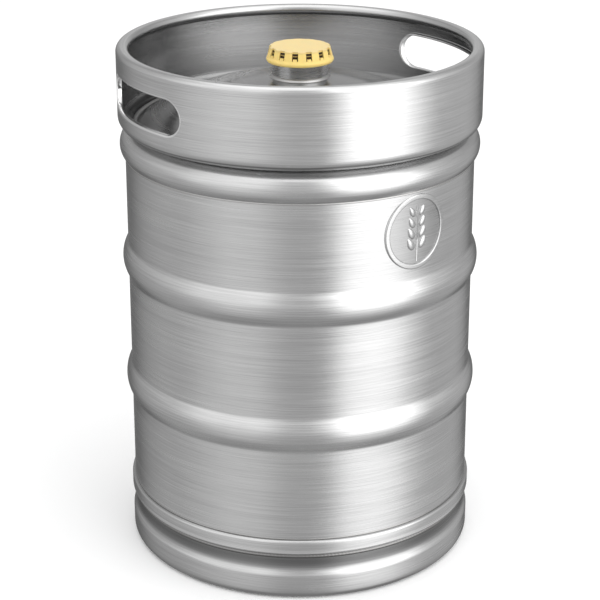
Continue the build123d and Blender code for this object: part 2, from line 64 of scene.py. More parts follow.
# Sizes shared with the solid model, in millimetres
KEG_HEIGHT = 590.0
RIM_R = 205.0
BODY_R = 197.6
SHELL_GAUGE = 1.5
CHIME_GAUGE = 2.0
LOWER_SEAM_Z = 73.0
UPPER_SEAM_Z = 464.4
SEAM_WIDTH = 1.6
SEAM_CROWN = 0.35
HOOP_LEVELS = (199.4, 345.6)
HOOP_CREST_R = 203.8
HOOP_ARC_R = 31.0
HOOP_FILLET_R = 8.6
TOP_KNUCKLE_R = 19.0
TOP_CREST_R = 203.6
TOP_DOME_R = 353.0
NECK_JOINT_Z = 551.5
NECK_R = 31.5
BASE_RING_R = 201.0
BASE_RING_SHOULDER = 3.4
BASE_RING_LOW_Z = 59.0
BASE_KNUCKLE_R = 4.0
BOTTOM_DOME_R = 484.0
SUMP_R = 34.0
SUMP_SLOPE_R = 26.0
SUMP_DROP = 4.5
TOP_SHOULDER_R = 12.8
TOP_SHOULDER_Z = 511.8
TOP_FLANGE_END = 250.0
RIM_ROLL_R = 6.3
RIM_LAND = 2.0
TOP_WELD_LEG = 3.6
TOP_BEAD_CROWN = 0.9
SLOT_AZIMUTH = -62.0
SLOT_LOW_Z = 524.5
SLOT_HIGH_Z = 562.5
SLOT_Z = (SLOT_LOW_Z + SLOT_HIGH_Z) / 2
SLOT_WIDTH = 166.0
SLOT_LIP = 2.4
SLOT_LIP_DEPTH = 6.0
FOOT_R = 200.5
FOOT_ROLL_R = 8.5
FOOT_LAND = 2.0
FOOT_SHOULDER_Z = 27.0
FOOT_SHOULDER_R = 9.0
FOOT_NECK_R = 196.8
FOOT_HOLLOW_R = 9.0
FOOT_TOP_Z = 50.0
NECK_BEAD = 2.7
NECK_BEAD_CROWN = 0.25
BADGE_AZIMUTH = 39.0
BADGE_Z = 419.5
BADGE_R = 42.0

SEGMENTS = 288


# Section drawing

def polar(radius, degrees, centre=(0.0, 0.0)):
    angle = math.radians(degrees)
    return (centre[0] + radius * math.cos(angle), centre[1] + radius * math.sin(angle))


def arc(centre, radius, start, turn, step=1.2):
    """Points along an arc of the section, both ends included; step is in millimetres."""
    count = max(3, int(abs(math.radians(turn)) * radius / step) + 1)
    return [polar(radius, start + turn * i / count, centre) for i in range(count + 1)]


def run(start, end, step=12.0):
    """Points along a straight of the section."""
    count = max(1, int(math.dist(start, end) / step))
    return [
        (start[0] + (end[0] - start[0]) * i / count, start[1] + (end[1] - start[1]) * i / count)
        for i in range(count + 1)
    ]


def thinned(points, least=0.02):
    """The same points without repeats."""
    kept = [points[0]]
    for point in points[1:]:
        if math.dist(point, kept[-1]) > least:
            kept.append(point)
    return kept


def sheet(points, gauge, side=1):
    """Closed section of sheet metal: points run along its outer face, side 1 lays the gauge to the left."""
    line = np.array(thinned(points))
    step = np.diff(line, axis=0)
    step /= np.linalg.norm(step, axis=1)[:, None]
    ahead = np.vstack([step, step[-1:]])
    behind = np.vstack([step[:1], step])
    mean = ahead + behind
    mean /= np.linalg.norm(mean, axis=1)[:, None]
    grown = gauge / np.clip((mean * ahead).sum(1), 0.5, 1.0)
    normal = np.stack([-mean[:, 1], mean[:, 0]], 1) * side
    inner = line + normal * grown[:, None]
    inner[:, 0] = np.where(line[:, 0] < 0.01, 0.0, inner[:, 0])
    return [tuple(p) for p in line] + [tuple(p) for p in inner[::-1]]


# Geometry node trees

OBJECT_SOCKET = "NodeSocketObject"


def new_tree(name, **inputs):
    """Geometry node tree with a geometry socket each way, its named inputs and one for the material.

    An input is given as its default number, or as a kind of socket.
    """
    tree = bpy.data.node_groups.new(name, "GeometryNodeTree")
    tree.interface.new_socket("Geometry", in_out="INPUT", socket_type="NodeSocketGeometry")
    tree.interface.new_socket("Geometry", in_out="OUTPUT", socket_type="NodeSocketGeometry")
    numbers = {float: "NodeSocketFloat", int: "NodeSocketInt"}
    for label, value in inputs.items():
        kind = numbers.get(type(value), value)
        socket = tree.interface.new_socket(label.replace("_", " "), in_out="INPUT", socket_type=kind)
        if kind != value:
            socket.default_value = value
    tree.interface.new_socket("Material", in_out="INPUT", socket_type="NodeSocketMaterial")
    source = tree.nodes.new("NodeGroupInput")
    target = tree.nodes.new("NodeGroupOutput")
    return tree, source.outputs, target.inputs


def put(tree, kind, wires=None, **settings):
    """Adds a node: wires are its inputs to link or set, settings its own properties."""
    node = tree.nodes.new(kind)
    for key, value in settings.items():
        setattr(node, key, value)
    for key, value in (wires or {}).items():
        socket = node.inputs[key]
        if isinstance(value, bpy.types.NodeSocket):
            tree.links.new(value, socket)
        else:
            socket.default_value = value
    return node


def out(tree, kind, wires=None, **settings):
    """Adds a node and gives its first output."""
    return put(tree, kind, wires, **settings).outputs[0]


def calc(tree, operation, *values):
    """Math node result."""
    return out(tree, "ShaderNodeMath", dict(enumerate(values)), operation=operation)


def plus(tree, first, second):
    return calc(tree, "ADD", first, second)


def minus(tree, first, second):
    return calc(tree, "SUBTRACT", first, second)


def times(tree, first, second):
    return calc(tree, "MULTIPLY", first, second)


def split(tree, vector):
    """X, Y and Z of a vector."""
    return put(tree, "ShaderNodeSeparateXYZ", {"Vector": vector}).outputs


def joined(tree, x=0.0, y=0.0, z=0.0):
    """Vector from its parts."""
    return out(tree, "ShaderNodeCombineXYZ", {0: x, 1: y, 2: z})


def off_axis(tree, part):
    """Distance from the keg's axis, from a position's parts."""
    flat = joined(tree, part[0], part[1])
    return put(tree, "ShaderNodeVectorMath", {0: flat}, operation="LENGTH").outputs["Value"]


def close_tree(tree, geometry, material, target):
    """Realize Instances and Set Material, which end every tree."""
    real = out(tree, "GeometryNodeRealizeInstances", {"Geometry": geometry})
    painted = out(tree, "GeometryNodeSetMaterial", {"Geometry": real, "Material": material})
    tree.links.new(painted, target[0])
    return tree


# Where a weld's ripples lead, as a share of the way round its section; behind it they trail in a bow.
RIPPLE_CENTRE = 0.25
SEAM_MERGE = 1e-6
COPY_MERGE = 2e-6


def turned_tree():
    """A closed section swept round the axis; a weld's ripples ride along it."""
    tree, given, target = new_tree(
        "turned_section", Segments=288, Path_Radius=0.1, Ripples=0.0, Ripple_Height=0.0, Ripple_Bow=0.0
    )
    section = out(tree, "GeometryNodeMeshToCurve", {"Mesh": given["Geometry"]})
    across = put(tree, "GeometryNodeSplineParameter").outputs["Factor"]
    marked = out(
        tree, "GeometryNodeStoreNamedAttribute", {"Geometry": section, "Name": "across", "Value": across},
        data_type="FLOAT", domain="POINT",
    )
    circle = put(
        tree, "GeometryNodeCurvePrimitiveCircle",
        {"Resolution": given["Segments"], "Radius": given["Path Radius"]},
    )
    swept = out(tree, "GeometryNodeCurveToMesh", {"Curve": circle.outputs["Curve"], "Profile Curve": marked})
    place = split(tree, out(tree, "GeometryNodeInputPosition"))
    angle = calc(tree, "ARCTAN2", place[1], place[0])
    side = out(tree, "GeometryNodeInputNamedAttribute", {"Name": "across"}, data_type="FLOAT")
    aside = minus(tree, side, RIPPLE_CENTRE)
    bow = times(tree, calc(tree, "POWER", aside, 2.0), given["Ripple Bow"])
    phase = plus(tree, times(tree, angle, given["Ripples"]), bow)
    wave = times(tree, calc(tree, "SINE", phase), given["Ripple Height"])
    push = out(
        tree, "ShaderNodeVectorMath", {0: out(tree, "GeometryNodeInputNormal"), "Scale": wave},
        operation="SCALE",
    )
    rippled = out(tree, "GeometryNodeSetPosition", {"Geometry": swept, "Offset": push})
    merged = out(tree, "GeometryNodeMergeByDistance", {"Geometry": rippled, "Distance": SEAM_MERGE})
    return close_tree(tree, merged, given["Material"], target)


def swept_tree():
    """A closed section carried along a closed flat outline."""
    tree, given, target = new_tree("swept_lip", Section=OBJECT_SOCKET)
    path = out(tree, "GeometryNodeMeshToCurve", {"Mesh": given["Geometry"]})
    profile = put(tree, "GeometryNodeObjectInfo", {"Object": given["Section"]})
    section = out(tree, "GeometryNodeMeshToCurve", {"Mesh": profile.outputs["Geometry"]})
    swept = out(tree, "GeometryNodeCurveToMesh", {"Curve": path, "Profile Curve": section})
    return close_tree(tree, swept, given["Material"], target)


def wrap_tree():
    """Bends flat work (across, up, proud of the wall) on to an upright barrel, at one azimuth."""
    tree, given, target = new_tree("wrap_on_barrel", Barrel_Radius=0.2, Height=0.0, Azimuth=0.0)
    flat = split(tree, out(tree, "GeometryNodeInputPosition"))
    radius = plus(tree, flat[2], given["Barrel Radius"])
    reach = times(tree, radius, radius)
    aside = times(tree, flat[0], flat[0])
    depth = calc(tree, "SQRT", minus(tree, reach, aside))
    level = plus(tree, flat[1], given["Height"])
    bent = joined(tree, flat[0], times(tree, depth, -1.0), level)
    faced = out(
        tree, "ShaderNodeVectorRotate", {"Vector": bent, "Angle": given["Azimuth"]}, rotation_type="Z_AXIS"
    )
    moved = out(tree, "GeometryNodeSetPosition", {"Geometry": given["Geometry"], "Position": faced})
    return close_tree(tree, moved, given["Material"], target)


def repeat_tree():
    """Copies of one bay round the axis, joined where they meet."""
    tree, given, target = new_tree("repeat_round_axis", Count=2, First_Angle=0.0)
    points = out(tree, "GeometryNodePoints", {"Count": given["Count"]})
    turn = calc(tree, "DIVIDE", math.tau, given["Count"])
    index = out(tree, "GeometryNodeInputIndex")
    angle = plus(tree, times(tree, index, turn), given["First Angle"])
    spin = joined(tree, z=angle)
    copies = out(
        tree, "GeometryNodeInstanceOnPoints",
        {"Points": points, "Instance": given["Geometry"], "Rotation": spin},
    )
    real = out(tree, "GeometryNodeRealizeInstances", {"Geometry": copies})
    merged = out(tree, "GeometryNodeMergeByDistance", {"Geometry": real, "Distance": COPY_MERGE})
    return close_tree(tree, merged, given["Material"], target)


def ear_tree():
    """Barley ear: one kernel repeated in leaning pairs up the stem, smaller towards the tip."""
    tree, given, target = new_tree(
        "barley_ear", Rows=5, Pitch=0.01, Half_Width=0.005, Lean=0.5, Taper=0.06, Lowest=0.0
    )
    points = out(tree, "GeometryNodePoints", {"Count": times(tree, given["Rows"], 2.0)})
    index = out(tree, "GeometryNodeInputIndex")
    row = calc(tree, "FLOOR", calc(tree, "DIVIDE", index, 2.0))
    side = minus(tree, times(tree, calc(tree, "MODULO", index, 2.0), 2.0), 1.0)
    size = minus(tree, 1.0, times(tree, row, given["Taper"]))
    across = times(tree, times(tree, side, given["Half Width"]), size)
    along = plus(tree, times(tree, row, given["Pitch"]), given["Lowest"])
    lean = times(tree, times(tree, side, -1.0), given["Lean"])
    set_out = out(
        tree, "GeometryNodeSetPosition", {"Geometry": points, "Position": joined(tree, across, along)}
    )
    copies = out(
        tree, "GeometryNodeInstanceOnPoints",
        {
            "Points": set_out, "Instance": given["Geometry"], "Rotation": joined(tree, z=lean),
            "Scale": joined(tree, size, size, 1.0),
        },
    )
    return close_tree(tree, copies, given["Material"], target)


STEPS_A_TURN = 40
WIRE_SIDES = 14


def coil_tree():
    """Round wire wound into a compression spring that stands on the given height."""
    tree, given, target = new_tree(
        "wound_coil", Turns=5.0, Coil_Radius=0.01, Wire_Radius=0.001, Foot=0.0, Rise=0.02
    )
    line = put(
        tree, "GeometryNodeCurveSpiral",
        {
            "Resolution": STEPS_A_TURN, "Rotations": given["Turns"], "Start Radius": given["Coil Radius"],
            "End Radius": given["Coil Radius"], "Height": given["Rise"],
        },
    )
    wire = put(
        tree, "GeometryNodeCurvePrimitiveCircle", {"Resolution": WIRE_SIDES, "Radius": given["Wire Radius"]}
    )
    wound = out(
        tree, "GeometryNodeCurveToMesh",
        {"Curve": line.outputs["Curve"], "Profile Curve": wire.outputs["Curve"], "Fill Caps": True},
    )
    placed = out(
        tree, "GeometryNodeSetPosition", {"Geometry": wound, "Offset": joined(tree, z=given["Foot"])}
    )
    return close_tree(tree, placed, given["Material"], target)


TURNED = turned_tree()
SWEPT = swept_tree()
WRAPPED = wrap_tree()
REPEATED = repeat_tree()
EAR = ear_tree()
COIL = coil_tree()


def add_object(name, data):
    """New object in the scene."""
    item = bpy.data.objects.new(name, data)
    bpy.context.scene.collection.objects.link(item)
    return item


def mesh_of(name, verts, faces, edges=()):
    """Mesh from points in metres."""
    mesh = bpy.data.meshes.new(name)
    mesh.from_pydata(verts, edges, faces)
    return mesh


def loop_mesh(name, points):
    """Edges-only mesh of a closed flat outline in metres."""
    count = len(points)
    edges = [(i, (i + 1) % count) for i in range(count)]
    return mesh_of(name, [(x, y, 0.0) for x, y in points], [], edges)


def finish_mesh(piece, material, sharp):
    """Outward faces, smooth shading broken at real edges, one material."""
    work = bmesh.new()
    work.from_mesh(piece.data)
    bmesh.ops.recalc_face_normals(work, faces=work.faces)
    work.to_mesh(piece.data)
    work.free()
    if len(piece.data.materials) == 0:
        piece.data.materials.append(material)
    piece.data.shade_smooth()
    piece.data.set_sharp_from_angle(angle=math.radians(sharp))


def grow(name, mesh, material, *steps, body="keg", slot=None, sharp=32.0, scrap=None):
    """Runs a mesh through its node trees and keeps the result as one plain piece.

    Each step is (tree, sizes). An object that only lent its outline is scrap.
    """
    piece = add_object(name, mesh)
    for tree, sizes in steps:
        modifier = piece.modifiers.new(tree.name, "NODES")
        modifier.node_group = tree
        given = dict(sizes, Material=material)
        for item in tree.interface.items_tree:
            if item.item_type == "SOCKET" and item.in_out == "INPUT" and item.name in given:
                modifier[item.identifier] = given[item.name]
    graph = bpy.context.evaluated_depsgraph_get()
    done = bpy.data.meshes.new_from_object(piece.evaluated_get(graph), depsgraph=graph)
    piece.modifiers.clear()
    piece.data = done
    done.name = name
    if scrap:
        bpy.data.objects.remove(scrap)
    finish_mesh(piece, material, sharp)
    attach(piece, body)
    return piece


# Sections are carried round a circle of this radius, in millimetres, and drawn from it
PATH_RADIUS = 100.0


def section_mesh(name, section):
    """(radius, height) section laid flat for the turning tree."""
    return loop_mesh(name, [((r - PATH_RADIUS) * MM, -z * MM) for r, z in thinned(section)])


def turned_piece(name, section, material, node, segments=SEGMENTS, sharp=32.0, ripple=None):
    """Closed (radius, height) section turned about the axis; ripple is (count, height, bow)."""
    sizes = {"Segments": segments, "Path Radius": PATH_RADIUS * MM}
    if ripple:
        sizes.update({"Ripples": ripple[0], "Ripple Height": ripple[1] * MM, "Ripple Bow": ripple[2]})
    piece = grow(name, section_mesh(name, section), material, (TURNED, sizes), sharp=sharp)
    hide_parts(node)


# Materials

def new_material(name, **values):
    """Material with values set on its shader."""
    material = bpy.data.materials.new(name)
    material.use_nodes = True
    tree = material.node_tree
    shader = tree.nodes["Principled BSDF"]
    for key, value in values.items():
        shader.inputs[key.replace("_", " ")].default_value = value
    return material, tree, shader


def round_grain(tree, along, across):
    """Object coordinates stretched along circles round the axis, for walls and domes alike."""
    part = split(tree, object_coords(tree))
    rise = plus(tree, part[2], off_axis(tree, part))
    return joined(tree, times(tree, part[0], along), times(tree, part[1], along), times(tree, rise, across))


def noise(tree, vector, scale=1.0, detail=2.0, rough=0.5, distortion=0.0):
    """Noise texture's value."""
    return put(
        tree, "ShaderNodeTexNoise",
        {"Vector": vector, "Scale": scale, "Detail": detail, "Roughness": rough, "Distortion": distortion},
    ).outputs["Fac"]


def spread(tree, value, low, high, out_low, out_high):
    """Map Range, clamped."""
    return out(
        tree, "ShaderNodeMapRange",
        {"Value": value, "From Min": low, "From Max": high, "To Min": out_low, "To Max": out_high},
    )


NOISE_LOW = 0.3
NOISE_HIGH = 0.7


def swing(tree, value, low, high):
    """A noise's usual range stretched over another one."""
    return spread(tree, value, NOISE_LOW, NOISE_HIGH, low, high)


def object_coords(tree):
    return put(tree, "ShaderNodeTexCoord").outputs["Object"]


def grey(tree, value, tint):
    """Colour that follows a brightness, with the metal's tint."""
    return out(tree, "ShaderNodeVectorMath", {0: tint, "Scale": value}, operation="SCALE")


def relief(tree, shader, height, strength, distance):
    """Bump from a height."""
    bump = out(tree, "ShaderNodeBump", {"Strength": strength, "Distance": distance, "Height": height})
    tree.links.new(bump, shader.inputs["Normal"])


def fill_ramp(ramp, stops):
    """Grey colour ramp from (position, level) stops."""
    marks = ramp.color_ramp.elements
    while len(marks) < len(stops):
        marks.new(0.5)
    for mark, (position, level) in zip(marks, stops):
        mark.position = position
        mark.color = (level, level, level, 1)
    return ramp.outputs[0]


def height_tone(tree, height, stops):
    """Tone of the metal by height, from (millimetres, share) stops."""
    ramp = put(tree, "ShaderNodeValToRGB", {"Fac": calc(tree, "DIVIDE", height, KEG_HEIGHT * MM)})
    return fill_ramp(ramp, [(level / KEG_HEIGHT, share) for level, share in stops])


def blended(tree, first, second, share):
    """Mix of two values."""
    return plus(tree, first, times(tree, minus(tree, second, first), share))


# Painted shade and highlight by height, as (millimetres, share of the clean metal's tone). Outside: painted
# shade in the hollow under the base ring, at the seam above the ring and towards the foot's lower edge, with
# a painted highlight along the ring's lower edge
OUTER_PAINTED_SHADE_AND_HIGHLIGHT = (
    (0, 0.46), (4, 0.62), (12, 0.86), (28, 0.95), (32, 0.92), (36, 0.70), (40, 0.42), (45, 0.30),
    (52, 0.34), (55, 0.80), (57.6, 1.45), (59.2, 1.35), (60.6, 1.0), (71.8, 1.0), (72.8, 0.62),
    (74.6, 0.70), (76, 1.0), (590, 1.0),
)
# Top head inside the chime: painted shade by the chime's flange bead and round the neck
HEAD_PAINTED_SHADE = (
    (0, 1.0), (484, 1.0), (492, 0.92), (498, 0.92), (499.6, 0.62), (503, 0.84), (530, 0.80), (546, 0.80),
    (554, 0.56),
)
# Chime's inner face: painted shade, darkest under the rim roll, with a faint painted highlight on top of the
# roll
CHIME_PAINTED_SHADE_AND_HIGHLIGHT = (
    (0, 1.0), (498, 0.9), (504, 0.36), (516, 0.40), (540, 0.54), (562, 0.56), (574, 0.38), (580, 0.24),
    (582.5, 0.24), (585, 0.74), (588, 1.06),
)
# The painted inner shade fades out over the first of these distances, and starts between the two heights, in
# metres
INNER_SHADE_EDGE = 0.0008
INNER_SHADE_START = (0.475, 0.480)


def painted_shade_and_highlight(tree, coords, inside):
    """Painted shade and highlight on the metal's tone, by height: dark in the crevices and, nearer the axis
    than a radius, inside the chime.
    """
    part = split(tree, coords)
    outer = height_tone(tree, part[2], OUTER_PAINTED_SHADE_AND_HIGHLIGHT)
    if not inside:
        return outer
    limit, stops = inside
    near = spread(tree, off_axis(tree, part), limit - INNER_SHADE_EDGE, limit, 1.0, 0.0)
    high = spread(tree, part[2], *INNER_SHADE_START, 0.0, 1.0)
    within = times(tree, near, high)
    return blended(tree, outer, height_tone(tree, part[2], stops), within)


# How far each kind of mark shifts the metal's tone and its roughness
FINE_TONE = 0.12
BAND_TONE = 0.05
HAZE_TONE = 0.035
SCORED_TONE = 0.05
FINE_ROUGH = 0.025
BAND_ROUGH = 0.035
HAZE_ROUGH = 0.03
STEEL_RELIEF = 0.30
STEEL_RELIEF_DEPTH = 0.00025


def steel(name, tint, rough, grain=1.0, cloud=1.0, pits=0.0, along=11.0, across=1150.0, turn=True,
          inside=None):
    """Brushed stainless: fine circular brush lines, broader lapped bands, stray scratches, handling haze, and
    painted shade and highlights by height.

    inside is (radius, stops): nearer the axis than that radius, the painted shade follows those stops.
    """
    material, tree, shader = new_material(name, Metallic=1.0, Anisotropic=0.35, Anisotropic_Rotation=0.25)
    coords = object_coords(tree)
    fine = noise(tree, round_grain(tree, along, across), detail=3.0, rough=0.62)
    band = noise(tree, round_grain(tree, along * 0.32, across * 0.16), detail=3.0, rough=0.6)
    haze = noise(tree, coords, scale=9.0, detail=4.0, rough=0.55, distortion=0.4)
    scratch = noise(tree, round_grain(tree, along * 2.4, across * 2.1), detail=1.0, rough=0.5)
    scored = spread(tree, scratch, 0.70, 0.78, 0.0, 1.0)
    lines = swing(tree, fine, 1.0 - FINE_TONE * grain, 1.0 + FINE_TONE * grain)
    tone = plus(tree, lines, swing(tree, band, -BAND_TONE * grain, BAND_TONE * grain))
    tone = plus(tree, tone, swing(tree, haze, -HAZE_TONE * cloud, HAZE_TONE * cloud))
    tone = minus(tree, tone, times(tree, scored, SCORED_TONE * grain))
    # Painted shade and highlights by height, multiplied into the colour
    tone = times(tree, tone, painted_shade_and_highlight(tree, coords, inside))
    tree.links.new(grey(tree, tone, tint), shader.inputs["Base Color"])
    worn = swing(tree, band, rough - BAND_ROUGH, rough + BAND_ROUGH)
    worn = plus(tree, worn, swing(tree, haze, -HAZE_ROUGH * cloud, HAZE_ROUGH * cloud))
    worn = plus(tree, worn, swing(tree, fine, -FINE_ROUGH, FINE_ROUGH))
    tree.links.new(worn, shader.inputs["Roughness"])
    height = minus(tree, plus(tree, fine, times(tree, band, 0.6)), times(tree, scored, 0.3))
    if pits:
        speck = noise(tree, coords, scale=700.0, detail=2.0, rough=0.6)
        height = plus(tree, height, times(tree, speck, pits))
    relief(tree, shader, height, STEEL_RELIEF * grain, STEEL_RELIEF_DEPTH)
    if turn:
        tangent = out(tree, "ShaderNodeTangent", direction_type="RADIAL", axis="Z")
        tree.links.new(tangent, shader.inputs["Tangent"])
    return material


SHELL_STEEL = steel("shell_steel", (0.60, 0.60, 0.60), 0.235, inside=(0.191, HEAD_PAINTED_SHADE))
CHIME_STEEL = steel("chime_steel", (0.62, 0.62, 0.62), 0.225, grain=0.9, inside=(0.2036, CHIME_PAINTED_SHADE_AND_HIGHLIGHT))
# The lips' lighter tint than the chime's own steel is a painted highlight along the slots' edges
LIP_HIGHLIGHT_STEEL = steel("lip_highlight_steel", (0.84, 0.84, 0.84), 0.15, grain=0.4)
BADGE_STEEL = steel("badge_steel", (0.47, 0.47, 0.47), 0.30, grain=0.9)
WELD_STEEL = steel("weld_steel", (0.52, 0.515, 0.51), 0.34, grain=0.6, pits=0.5)
NECK_STEEL = steel("neck_steel", (0.56, 0.56, 0.56), 0.27, grain=0.7, across=1900.0)
VALVE_STEEL = steel("valve_steel", (0.64, 0.64, 0.64), 0.22, grain=0.5, across=2400.0)
TUBE_STEEL = steel("tube_steel", (0.62, 0.62, 0.62), 0.20, grain=0.45, along=40.0, across=1800.0)
SPRING_STEEL = steel("spring_steel", (0.58, 0.58, 0.58), 0.26, grain=0.5, pits=0.3, turn=False)
BALL_STEEL = steel("ball_steel", (0.74, 0.74, 0.75), 0.08, grain=0.15, cloud=0.4, turn=False)


def rubber():
    """Matt black rubber with a faint bloom."""
    material, tree, shader = new_material("seal_rubber", Specular_IOR_Level=0.4)
    coords = object_coords(tree)
    speck = noise(tree, coords, scale=900.0, detail=3.0, rough=0.6)
    bloom = noise(tree, coords, scale=60.0, detail=3.0)
    tone = plus(tree, swing(tree, bloom, 0.022, 0.045), swing(tree, speck, 0, 0.01))
    tree.links.new(grey(tree, tone, (1.0, 1.0, 1.02)), shader.inputs["Base Color"])
    tree.links.new(swing(tree, bloom, 0.5, 0.68), shader.inputs["Roughness"])
    relief(tree, shader, speck, 0.25, 0.0001)
    return material


def mixed(tree, share, first, second, blend="MIX"):
    """Mix of two colours."""
    return put(
        tree, "ShaderNodeMix", {"Factor": share, "A": first, "B": second}, data_type="RGBA",
        blend_type=blend,
    ).outputs["Result"]


# The lid's colour is a darker, greyer copy of the side's, standing in for how light falls on the top
CAP_LID_PAINTED_SHADE_COLOUR = (0.73, 0.57, 0.262, 1)
CAP_SIDE_COLOUR = (0.99, 0.74, 0.24, 1)
# Near black painted shade on the windows' floors
CAP_WINDOW_PAINTED_SHADE = (0.035, 0.018, 0.010, 1)
# The side's colour gives way to the lid's painted shade between these heights, and the edge is rubbed between
# these radii
CAP_LID_SHADE_EDGE = (0.5825, 0.5855)
CAP_RUBBED = (0.030, 0.037)


def cap_plastic():
    """Pale yellow moulded cap with painted shade in its windows and on its lid, a faint mould grain and
    rubbed edges.
    """
    material, tree, shader = new_material(
        "cap_plastic", Subsurface_Weight=0.06, Subsurface_Scale=0.0015, Specular_IOR_Level=0.42
    )
    coords = object_coords(tree)
    grain = noise(tree, coords, scale=1400.0, detail=2.0, rough=0.6)
    mottle = noise(tree, coords, scale=70.0, detail=3.0, rough=0.5)
    part = split(tree, coords)
    side = spread(tree, part[2], *CAP_LID_SHADE_EDGE, 1.0, 0.0)
    deep = put(tree, "ShaderNodeAttribute", attribute_name="deep").outputs["Fac"]
    colour = mixed(tree, side, CAP_LID_PAINTED_SHADE_COLOUR, CAP_SIDE_COLOUR)
    # Painted shade in the windows
    colour = mixed(tree, deep, colour, CAP_WINDOW_PAINTED_SHADE)
    colour = mixed(tree, 1.0, colour, grey(tree, swing(tree, mottle, 0.955, 1.0), (1, 1, 1)), "MULTIPLY")
    tree.links.new(colour, shader.inputs["Base Color"])
    rubbed = spread(tree, off_axis(tree, part), *CAP_RUBBED, 0.0, -0.05)
    tree.links.new(plus(tree, swing(tree, mottle, 0.36, 0.46), rubbed), shader.inputs["Roughness"])
    relief(tree, shader, grain, 0.2, 0.0001)
    return material


SEAL_RUBBER = rubber()
CAP_PLASTIC = cap_plastic()


# Vessel

def top_knuckle():
    """The top head's knuckle centre, its dome's centre height and the angle at which they blend."""
    dome_z = NECK_JOINT_Z - math.sqrt(TOP_DOME_R ** 2 - NECK_R ** 2)
    centre_r = TOP_CREST_R - TOP_KNUCKLE_R
    rise = math.sqrt((TOP_DOME_R - TOP_KNUCKLE_R) ** 2 - centre_r ** 2)
    return (centre_r, dome_z + rise), dome_z, math.degrees(math.atan2(rise, centre_r))


def base_knuckle():
    """The bottom head's knuckle centre, its dome's centre height and the angle at which they blend."""
    centre = (BASE_RING_R - BASE_KNUCKLE_R, BASE_RING_LOW_Z)
    drop = math.sqrt((BOTTOM_DOME_R - BASE_KNUCKLE_R) ** 2 - centre[0] ** 2)
    return centre, BASE_RING_LOW_Z + drop, -math.degrees(math.atan2(drop, centre[0]))


def dome(radius, dome_r, centre_z, upwards=1):
    """Point of a domed head at a radius."""
    return (radius, centre_z + upwards * math.sqrt(dome_r ** 2 - radius ** 2))


def seam_start():
    """Angle at which the top head's knuckle meets the wall."""
    return -math.degrees(math.acos((BODY_R - TOP_CREST_R + TOP_KNUCKLE_R) / TOP_KNUCKLE_R))


def body_section():
    """Wall with its two rolling hoops."""
    foot = BODY_R + HOOP_FILLET_R
    crest = HOOP_CREST_R - HOOP_ARC_R
    reach = HOOP_ARC_R + HOOP_FILLET_R
    lean = math.acos((foot - crest) / reach)
    rise = reach * math.sin(lean)
    bend = math.degrees(lean)
    line = []
    height = LOWER_SEAM_Z + SEAM_WIDTH
    for level in HOOP_LEVELS:
        line += run((BODY_R, height), (BODY_R, level - rise), 16)
        line += arc((foot, level - rise), HOOP_FILLET_R, 180, -bend, 0.9)
        line += arc((crest, level), HOOP_ARC_R, -bend, 2 * bend, 1.4)
        line += arc((foot, level + rise), HOOP_FILLET_R, 180 + bend, -bend, 0.9)
        height = level + rise
    line += run((BODY_R, height), (BODY_R, UPPER_SEAM_Z - SEAM_WIDTH), 16)
    return sheet(line, SHELL_GAUGE)


def top_head_section():
    """Dished top from the wall's seam to the neck."""
    knuckle, dome_z, blend = top_knuckle()
    start = seam_start()
    neck_edge = math.degrees(math.acos(NECK_R / TOP_DOME_R))
    line = arc(knuckle, TOP_KNUCKLE_R, start, blend - start, 0.9)
    line += arc((0, dome_z), TOP_DOME_R, blend, neck_edge - blend, 5)
    return sheet(line, SHELL_GAUGE)


def bottom_head_section():
    """Dished bottom with its ring round the edge and its sump."""
    centre, dome_z, blend = base_knuckle()
    shoulder = (BASE_RING_R - BASE_RING_SHOULDER, LOWER_SEAM_Z - BASE_RING_SHOULDER)
    sump_edge = -math.degrees(math.acos(SUMP_R / BOTTOM_DOME_R))
    rim = polar(BOTTOM_DOME_R, sump_edge, (0, dome_z))
    floor_z = rim[1] - SUMP_DROP
    line = arc(shoulder, BASE_RING_SHOULDER, 90, -90, 0.5)
    line += run((BASE_RING_R, shoulder[1]), (BASE_RING_R, BASE_RING_LOW_Z), 4)
    line += arc(centre, BASE_KNUCKLE_R, 0, blend, 0.5)
    line += arc((0, dome_z), BOTTOM_DOME_R, blend, sump_edge - blend, 7)
    line += run(rim, (SUMP_SLOPE_R, floor_z), 4)
    line += run((SUMP_SLOPE_R, floor_z), (0, floor_z), 8)
    return sheet(line, SHELL_GAUGE, side=-1)


turned_piece("vessel_wall", body_section(), SHELL_STEEL, "body_shell", sharp=50)
turned_piece("vessel_top_head", top_head_section(), SHELL_STEEL, "top_head", sharp=50)
turned_piece("vessel_bottom_head", bottom_head_section(), SHELL_STEEL, "bottom_head", sharp=50)


# Chimes

def bottom_chime_section():
    """Foot skirt: rolled foot, shoulder, hollow and neck."""
    inner_roll = (FOOT_R - FOOT_ROLL_R - FOOT_LAND, FOOT_ROLL_R)
    outer_roll = (FOOT_R - FOOT_ROLL_R, FOOT_ROLL_R)
    shoulder = (FOOT_R - FOOT_SHOULDER_R, FOOT_SHOULDER_Z)
    reach = FOOT_SHOULDER_R + FOOT_HOLLOW_R
    across = FOOT_NECK_R + FOOT_HOLLOW_R - shoulder[0]
    bend = math.degrees(math.acos(across / reach))
    hollow = (FOOT_NECK_R + FOOT_HOLLOW_R, FOOT_SHOULDER_Z + math.sqrt(reach ** 2 - across ** 2))
    line = arc(inner_roll, FOOT_ROLL_R, 180, 90, 0.9) + arc(outer_roll, FOOT_ROLL_R, 270, 90, 0.9)
    line += arc(shoulder, FOOT_SHOULDER_R, 0, bend, 0.7)
    line += arc(hollow, FOOT_HOLLOW_R, 180 + bend, -bend, 0.7)
    line += run((FOOT_NECK_R, hollow[1]), (FOOT_NECK_R, FOOT_TOP_Z), 3)
    return sheet(line, CHIME_GAUGE)


turned_piece("chime_bottom", bottom_chime_section(), CHIME_STEEL, "bottom_chime", sharp=50)


